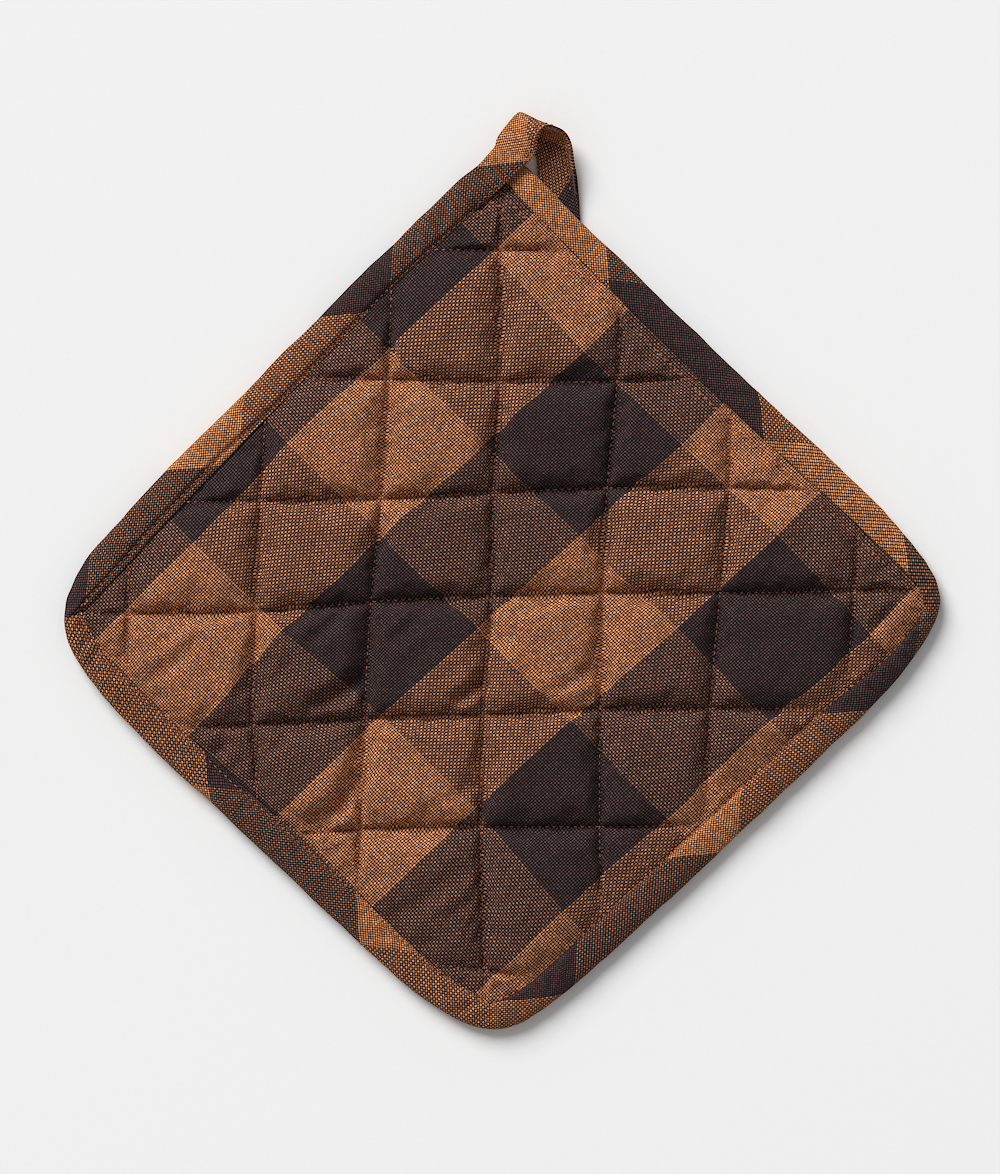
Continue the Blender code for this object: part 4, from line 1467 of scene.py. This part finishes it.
    def build(self, material: bpy.types.Material) -> bpy.types.Object:
        """Build the tape as one closed strip with an end at either side of the loop.

        Args:
            material: the cloth.

        Returns:
            The tape's object.
        """
        points, faces, uvs, pulled = [], [], [], []
        offset = 0
        for number, run in enumerate(self.runs):
            section = self.section(run)
            flat = self.unrolled(run, section)
            threads = run.cut.threads(flat[:, :, 0], flat[:, :, 1], self.cloth)
            stations, rows = section.shape[:2]
            if number:
                section[0] = points[-1][-1]
                offset -= rows
            points.append(section if number == 0 else section[1:])
            pulled.append(self.pull(run, rows)[min(number, 1):])
            for station in range(stations - 1):
                for row in range(rows):
                    after = (row + 1) % rows
                    faces.append([offset + station * rows + row, offset + (station + 1) * rows + row,
                                  offset + (station + 1) * rows + after, offset + station * rows + after])
                    wrapped = threads[:, after] if after else threads[:, row]
                    uvs += [threads[station, row], threads[station + 1, row], wrapped[station + 1],
                            wrapped[station]]
            offset += stations * rows
            if number == 0:
                first_cap, first_threads = list(range(rows)), threads[0]
            last_threads = threads[-1]
        vertices = np.concatenate([part.reshape(-1, 3) for part in points])
        faces.append(first_cap)
        uvs += list(first_threads)
        faces.append([len(vertices) - 1 - row for row in range(rows)])
        uvs += list(last_threads[::-1])
        pulled = np.concatenate([part.ravel() for part in pulled])
        return make_object("edge_tape", vertices, faces, np.array(uvs), pulled, material)

    def stitch_lines(self) -> list[np.ndarray]:
        """The topstitching in the groove, one polyline for each side that has it on the tape.

        Returns:
            The polylines, raised a little.
        """
        lines = []
        for run in self.runs:
            if run.sewn_beside():
                continue
            section = self.section(run)
            first = len(self.UNDER_SHARES)
            top = section[:, first:first + len(self.TOP_SHARES)]
            from_inner = np.linalg.norm(top[:, :, :2] - run.inner[:, None, :], axis=2)
            line = [[np.interp(groove, near[::-1], spot[::-1, axis]) for axis in range(3)]
                    for near, spot, groove in zip(from_inner, top, run.groove_places())]
            line = np.array(line)[self.unsewn:-self.unsewn]
            line[:, 2] += self.stitch_lift
            lines.append(line)
        return lines


@dataclass
class HangingLoop:
    """The end of the tape, free of the pad: it twists over and comes back under the bound edge."""

    tape: EdgeTape
    thickness: float = 1.7           # four layers of cloth
    per_ruling: int = 8
    blend_length: float = 10.0       # over which the folded edge flattens into the strip
    slit_depth: float = 1.4          # of the open edge, where the two turned-in sides meet
    edge_thinning: float = 0.3       # how much thinner the two edges are
    groove_depth: float = 0.4
    groove_width: float = 0.7
    hollow: float = 6.0              # how far the leg that comes back sags between its edges
    hollow_lean: float = 1.6         # above 1 it sags most towards its open edge
    edge_power: int = 8              # higher keeps the thinning nearer to the edges
    lead: int = 6                    # stations of the bound edge that give the direction it leaves in
    first_lean: float = 0.3          # thickness at the fold where it leaves, to the rest's
    lean_slope: float = 4.0          # and how fast it grows from there, by share of the width
    unsewn_start: int = 2            # rulings without stitches at its start
    unsewn_end: int = 20             # and where it goes under the bound edge
    stitch_lift: float = 0.3         # height of the thread's middle over the groove

    # Tables by distance from its start: the sag, and the stitching's distance from the open edge.
    HOLLOW_WINDOW = ((30.0, 37.0, 54.0, 66.0), (0.0, 1.0, 0.7, 0.0))
    GROOVE_PLACES = ((0.0, 12.0, 34.0, 48.0), (0.9, 1.5, 1.8, 2.6))

    def shares(self) -> np.ndarray:
        """Places across the strip, from 0 at the folded edge to 1 at the open edge."""
        return np.array(self.tape.TOP_SHARES + (1.0,))

    def middle(self) -> np.ndarray:
        """Rulings of the strip's middle surface, none below the table top.

        Returns:
            One ruling a row: the folded edge's place, then the open edge's.
        """
        rows = smooth_curve(LOOP, self.per_ruling)
        rows[:, 2::3] = np.maximum(rows[:, 2::3], self.thickness / 2)
        return rows

    def unrolled(self, rows: np.ndarray, share: np.ndarray) -> tuple[np.ndarray, np.ndarray]:
        """Where each point of the strip lies in the plan when it runs straight on from the bound edge.

        Args:
            rows: the rulings.
            share: places across the strip, from 0 at the folded edge to 1 at the open edge.

        Returns:
            Plan places of its upper side and of its lower side, by ruling and share.
        """
        run = self.tape.runs[0]
        ahead = unit(run.outer[0] - run.outer[self.lead])
        outward = np.array([-ahead[1], ahead[0]])
        skew = rows[0, :2] - rows[0, 3:5]
        width = skew @ outward
        folded = skew @ ahead + lengths_along(rows[:, :3])
        opened = lengths_along(rows[:, 3:])
        along = folded[:, None] * (1 - share) + opened[:, None] * share
        sides = []
        for across in (width * (1 - share), width * (1 + share)):
            across = width / 2 + (across - width / 2) * self.tape.bias_pull
            sides.append(rows[0, 3:5] + along[:, :, None] * ahead + across[None, :, None] * outward)
        return sides[0], sides[1]

    def surfaces(self) -> tuple[np.ndarray, np.ndarray, np.ndarray]:
        """Shape the strip's two sides.

        Returns:
            Points of its upper and lower side by ruling and share, and how much the stitching pulls each.
        """
        rows = self.middle()
        share = self.shares()
        middle = rows[:, None, :3] * (1 - share[:, None]) + rows[:, None, 3:] * share[:, None]
        travelled = lengths_along(middle.mean(axis=1))
        hollow = self.hollow * np.interp(travelled, *self.HOLLOW_WINDOW)
        sag = hollow[:, None] * np.sin(np.pi * share ** self.hollow_lean)
        middle[:, :, 2] = np.maximum(middle[:, :, 2] - sag, self.thickness / 2)
        normal = unit(np.cross((rows[:, 3:] - rows[:, :3])[:, None, :], np.gradient(middle, axis=0)))
        width = np.linalg.norm(rows[:, 3:] - rows[:, :3], axis=1)
        from_open = (1 - share) * width[:, None] - self.groove_places(travelled)[:, None]
        groove = np.exp(-(from_open / self.groove_width) ** 2)
        edge = np.abs(2 * share - 1) ** self.edge_power
        half = self.thickness / 2 * (1 - self.edge_thinning * edge) - self.groove_depth * groove
        upper = middle + normal * half[:, :, None]
        lower = middle - normal * half[:, :, None]

        # Its start is the bound edge's own section, so that the tape runs on in one piece.
        first = len(self.tape.UNDER_SHARES)
        begin = self.tape.section(self.tape.runs[0])[0, first:first + len(share)]
        blend = smooth_step(np.clip(1 - travelled / self.blend_length, 0, 1))[:, None, None]
        thinner = np.minimum(1.0, self.first_lean + self.lean_slope * share)
        below = np.array([[0.0, 0.0, 1.0]]) * (2 * half[0] * thinner)[:, None]
        upper = upper + (begin - upper[0]) * blend
        lower = lower + (begin - below - lower[0]) * blend
        return upper, lower, np.exp(-(from_open / self.tape.pull_reach) ** 2)

    def groove_places(self, travelled: np.ndarray) -> np.ndarray:
        """Distance of the stitching from the open edge, at each distance from the strip's start."""
        return np.interp(travelled, *self.GROOVE_PLACES)

    def build(self, material: bpy.types.Material) -> bpy.types.Object:
        """Build the strip as one closed solid of its real thickness.

        Args:
            material: the cloth.

        Returns:
            The loop's object.
        """
        rows = self.middle()
        share = self.shares()
        upper, lower, pulled = self.surfaces()
        edge = (upper[:, -1] + lower[:, -1]) / 2
        across = rows[:, :3] - rows[:, 3:]
        slit = edge + across * (self.slit_depth / np.linalg.norm(across, axis=1))[:, None]
        ring = np.concatenate([upper, slit[:, None], lower[:, ::-1]], axis=1)
        pulled = np.concatenate([pulled, pulled[:, -1:], pulled[:, ::-1]], axis=1)

        above, below = self.unrolled(rows, share)
        places = np.concatenate([above, above[:, -1:], below[:, ::-1]], axis=1)
        threads = self.tape.runs[0].cut.threads(places[:, :, 0], places[:, :, 1], self.tape.cloth)
        ending = threads.copy()
        threads[:, len(share)] = threads[:, len(share) + 1]

        size = ring.shape[1]
        faces, uvs = [], []
        for ruling in range(len(rows) - 1):
            for column in range(size):
                after = (column + 1) % size
                faces.append([ruling * size + column, ruling * size + after, (ruling + 1) * size + after,
                              (ruling + 1) * size + column])
                uvs += [threads[ruling, column], ending[ruling, after], ending[ruling + 1, after],
                        threads[ruling + 1, column]]
        faces.append(list(range(size))[::-1])
        uvs += list(threads[0][::-1])
        faces.append([(len(rows) - 1) * size + column for column in range(size)])
        uvs += list(threads[-1])
        return make_object("loop_tape", ring.reshape(-1, 3), faces, np.array(uvs), pulled, material)

    def stitch_lines(self) -> list[np.ndarray]:
        """The stitching through the strip, one polyline on each side of it.

        Returns:
            Both polylines, raised a little.
        """
        rows = self.middle()
        share = self.shares()
        upper, lower, _ = self.surfaces()
        places = self.groove_places(lengths_along((upper + lower).mean(axis=1) / 2))
        widths = np.linalg.norm(rows[:, 3:] - rows[:, :3], axis=1)
        above, below = (
            np.array([[np.interp(1 - place / width, share, spot[:, axis]) for axis in range(3)]
                      for spot, place, width in zip(side, places, widths)])
            for side in (upper, lower))
        lines = []
        for line, behind in ((above, below), (below, above)):
            raised = line + unit(line - behind) * self.stitch_lift
            lines.append(raised[self.unsewn_start:-self.unsewn_end])
        return lines


@dataclass
class Stitching:
    """Lockstitch in sewing thread: one small capsule a stitch, laid along a line on the cloth."""

    pitch: float = 2.35
    length: float = 1.35
    width: float = 0.6
    height: float = 0.55
    unrest: float = 0.14             # how far a stitch turns out of line, in radians
    least_size: float = 0.88         # of a stitch, to the others
    most_size: float = 1.1
    segments: int = 8                # faces round a stitch
    rings: int = 5                   # and along it
    seed: int = 5

    def tree(self) -> bpy.types.NodeTree:
        """Build the node group that lays stitches along lines.

        Returns:
            A geometry node group with a named input for each size.
        """
        tree = bpy.data.node_groups.new("stitch_line", "GeometryNodeTree")
        face = tree.interface
        face.new_socket("Lines", in_out="INPUT", socket_type="NodeSocketGeometry")
        for name in ("Pitch", "Length", "Width", "Height", "Unrest"):
            face.new_socket(name, in_out="INPUT", socket_type="NodeSocketFloat")
        face.new_socket("Seed", in_out="INPUT", socket_type="NodeSocketInt")
        face.new_socket("Thread", in_out="INPUT", socket_type="NodeSocketMaterial")
        face.new_socket("Stitches", in_out="OUTPUT", socket_type="NodeSocketGeometry")
        given = add_node(tree, "NodeGroupInput").outputs
        curve = add_node(tree, "GeometryNodeMeshToCurve", Mesh=given["Lines"]).outputs[0]
        spaced = add_node(tree, "GeometryNodeResampleCurve", {"mode": "LENGTH"}, Curve=curve,
                          Length=given["Pitch"]).outputs[0]
        tangent = add_node(tree, "GeometryNodeInputTangent").outputs[0]
        flat = add_node(tree, "FunctionNodeAlignRotationToVector", {"axis": "X", "pivot_axis": "Z"},
                        Vector=tangent).outputs[0]
        tilted = add_node(tree, "FunctionNodeAlignRotationToVector", {"axis": "X", "pivot_axis": "Y"},
                          Rotation=flat, Vector=tangent).outputs[0]
        least = add_node(tree, "ShaderNodeMath", {"operation": "MULTIPLY"}, i0=given["Unrest"],
                         i1=-1.0).outputs[0]
        turn = add_node(tree, "FunctionNodeRandomValue", {"data_type": "FLOAT"}, i2=least, i3=given["Unrest"],
                        Seed=given["Seed"]).outputs[1]
        spin = add_node(tree, "ShaderNodeCombineXYZ", i2=turn).outputs[0]
        spin = add_node(tree, "FunctionNodeEulerToRotation", i0=spin).outputs[0]
        turned = add_node(tree, "FunctionNodeRotateRotation", {"rotation_space": "LOCAL"}, Rotation=tilted,
                          i1=spin).outputs[0]
        ball = add_node(tree, "GeometryNodeMeshUVSphere", Segments=self.segments, Rings=self.rings,
                        Radius=0.5).outputs["Mesh"]
        size = add_node(tree, "ShaderNodeCombineXYZ", i0=given["Length"], i1=given["Width"],
                        i2=given["Height"]).outputs[0]
        uneven = add_node(tree, "FunctionNodeRandomValue", {"data_type": "FLOAT"}, i2=self.least_size,
                          i3=self.most_size, Seed=given["Seed"]).outputs[1]
        size = add_node(tree, "ShaderNodeVectorMath", {"operation": "SCALE"}, i0=size,
                        Scale=uneven).outputs[0]
        laid = add_node(tree, "GeometryNodeInstanceOnPoints", Points=spaced, Instance=ball, Rotation=turned,
                        Scale=size).outputs[0]
        real = add_node(tree, "GeometryNodeRealizeInstances", Geometry=laid).outputs[0]
        smooth = add_node(tree, "GeometryNodeSetShadeSmooth", Geometry=real).outputs[0]
        done = add_node(tree, "GeometryNodeSetMaterial", Geometry=smooth, Material=given["Thread"]).outputs[0]
        add_node(tree, "NodeGroupOutput", Stitches=done)
        return tree

    def sew(self, name: str, lines: Sequence[np.ndarray], material: bpy.types.Material,
            tree: bpy.types.NodeTree) -> bpy.types.Object:
        """Lay stitches along lines.

        Args:
            name: the piece's name.
            lines: polylines in millimetres.
            material: the thread.
            tree: the node group.

        Returns:
            A plain mesh object with every stitch.
        """
        points = np.concatenate(lines)
        edges, start = [], 0
        for line in lines:
            edges += [(start + index, start + index + 1) for index in range(len(line) - 1)]
            start += len(line)
        mesh = bpy.data.meshes.new(name + "_lines")
        mesh.from_pydata((points * MM).tolist(), edges, [])
        guide = bpy.data.objects.new(name + "_lines", mesh)
        bpy.context.scene.collection.objects.link(guide)
        modifier = guide.modifiers.new("Stitches", "NODES")
        modifier.node_group = tree
        values = {"Pitch": self.pitch * MM, "Length": self.length * MM, "Width": self.width * MM,
                  "Height": self.height * MM, "Unrest": self.unrest, "Seed": self.seed, "Thread": material}
        for socket in tree.interface.items_tree:
            if socket.in_out == "INPUT" and socket.name in values:
                modifier[socket.identifier] = values[socket.name]
        evaluated = guide.evaluated_get(bpy.context.evaluated_depsgraph_get())
        made = bpy.data.meshes.new_from_object(evaluated)
        made.name = name
        bpy.data.objects.remove(guide, do_unlink=True)
        stitches = bpy.data.objects.new(name, made)
        bpy.context.scene.collection.objects.link(stitches)
        return stitches


@dataclass
class Studio:
    """Pale paper, one large soft key light from the upper left and an even fill, camera straight above."""

    view_centre: tuple[float, float] = (-0.833, -5.667)
    view_height: float = 391.3       # what the picture's long side covers at the pad's mid height
    mid_height: float = 3.4
    camera_height: float = 2400.0
    sensor: float = 36.0
    key_angle: float = 122.0         # where the key light stands, anticlockwise from +X
    key_elevation: float = 37.0
    key_distance: float = 24000.0    # far off, so that the paper is evenly lit
    key_size: float = 15500.0
    key_power: float = 6230.0
    fill_strength: float = 0.33
    clip_end: float = 20.0           # in metres
    sharpening: float = 0.18
    floor_reach: float = 6000.0
    floor_drop: float = 0.25         # the loop's lowest stitches bulge a little under the table's level

    def floor(self) -> bpy.types.Object:
        """Lay the paper just under the pot holder.

        Returns:
            The paper.
        """
        reach, top = self.floor_reach, -self.floor_drop
        corners = [(-reach, -reach, top), (reach, -reach, top), (reach, reach, top), (-reach, reach, top)]
        paper = make_object("background_paper", np.array(corners), [(0, 1, 2, 3)],
                            material=PaperFloor().material())
        return paper

    def lights(self) -> None:
        """Set the key light and the even light of the room."""
        data = bpy.data.lights.new("key_light", "AREA")
        data.shape = "DISK"
        data.size = self.key_size * MM
        data.energy = self.key_power
        key = bpy.data.objects.new("key_light", data)
        around, up = math.radians(self.key_angle), math.radians(self.key_elevation)
        back = Vector((math.cos(around) * math.cos(up), math.sin(around) * math.cos(up), math.sin(up)))
        key.location = back * self.key_distance * MM
        key.rotation_euler = back.to_track_quat("Z", "Y").to_euler()
        bpy.context.scene.collection.objects.link(key)
        world = bpy.data.worlds.new("room")
        world.use_nodes = True
        world.node_tree.nodes["Background"].inputs["Color"].default_value = linear("#ffffff")
        world.node_tree.nodes["Background"].inputs["Strength"].default_value = self.fill_strength
        bpy.context.scene.world = world

    def camera(self) -> bpy.types.Object:
        """Hang the camera straight above, framed as the photograph.

        Returns:
            The camera.
        """
        data = bpy.data.cameras.new("camera")
        data.sensor_fit = "VERTICAL"
        data.sensor_height = self.sensor
        data.sensor_width = self.sensor
        data.lens = self.sensor * (self.camera_height - self.mid_height) / self.view_height
        data.clip_end = self.clip_end
        camera = bpy.data.objects.new("camera", data)
        camera.location = (self.view_centre[0] * MM, self.view_centre[1] * MM, self.camera_height * MM)
        camera.rotation_euler = Euler((0.0, 0.0, 0.0))
        bpy.context.scene.collection.objects.link(camera)
        bpy.context.scene.camera = camera
        return camera

    def grade(self) -> None:
        """Plain view of the light, and a touch of sharpening as the photograph has."""
        scene = bpy.context.scene
        scene.view_settings.view_transform = "Standard"
        scene.view_settings.look = "None"
        scene.use_nodes = True
        tree = scene.node_tree
        tree.nodes.clear()
        image = add_node(tree, "CompositorNodeRLayers").outputs["Image"]
        crisp = add_node(tree, "CompositorNodeFilter", {"filter_type": "SHARPEN_DIAMOND"},
                         Fac=self.sharpening, Image=image).outputs[0]
        add_node(tree, "CompositorNodeComposite", Image=crisp)


def dress(piece: bpy.types.Object, slot: str, *nodes: str) -> None:
    """Attach a piece to the body, in place of the nodes it stands for.

    Args:
        piece: the piece.
        slot: not used.
        nodes: CAD nodes that it takes the place of.
    """
    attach(piece, "root")
    if nodes:
        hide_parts(*nodes)
    log.info("%s: %d faces", piece.name, len(piece.data.polygons))


def main() -> None:
    """Build every piece of the pot holder and the studio."""
    logging.basicConfig(level=logging.INFO, format="%(message)s")
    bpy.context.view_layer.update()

    pad_cloth = CheckedCotton("checked_cotton")
    tape_cloth = CheckedCotton("bias_tape_cotton", column_threads=60, row_threads=60)
    runs = EdgePlan().runs()
    pad = QuiltedPad(Quilting(), Rim(runs), pad_cloth)
    pad_piece = pad.build(pad_cloth.material())
    dress(pad_piece, "quilted_cotton", "quilted_pad")

    tape_material = tape_cloth.material()
    tape = EdgeTape(runs, tape_cloth)
    tape_piece = tape.build(tape_material)
    dress(tape_piece, "tape_cotton", "binding")

    loop = HangingLoop(tape)
    loop_piece = loop.build(tape_material)
    dress(loop_piece, "tape_cotton", "hanging_loop")

    sewing = Stitching()
    thread = SewingThread().material()
    stitch_tree = sewing.tree()
    quilt_stitches = sewing.sew("quilting_stitches", pad.seams(), thread, stitch_tree)
    dress(quilt_stitches, "quilted_cotton")
    edge_lines = tape.stitch_lines() + loop.stitch_lines()
    edge_stitches = sewing.sew("edge_stitches", edge_lines, thread, stitch_tree)
    dress(edge_stitches, "tape_cotton")

    studio = Studio()
    studio.floor()
    studio.lights()
    studio.camera()
    studio.grade()


if __name__ == "__main__":
    main()
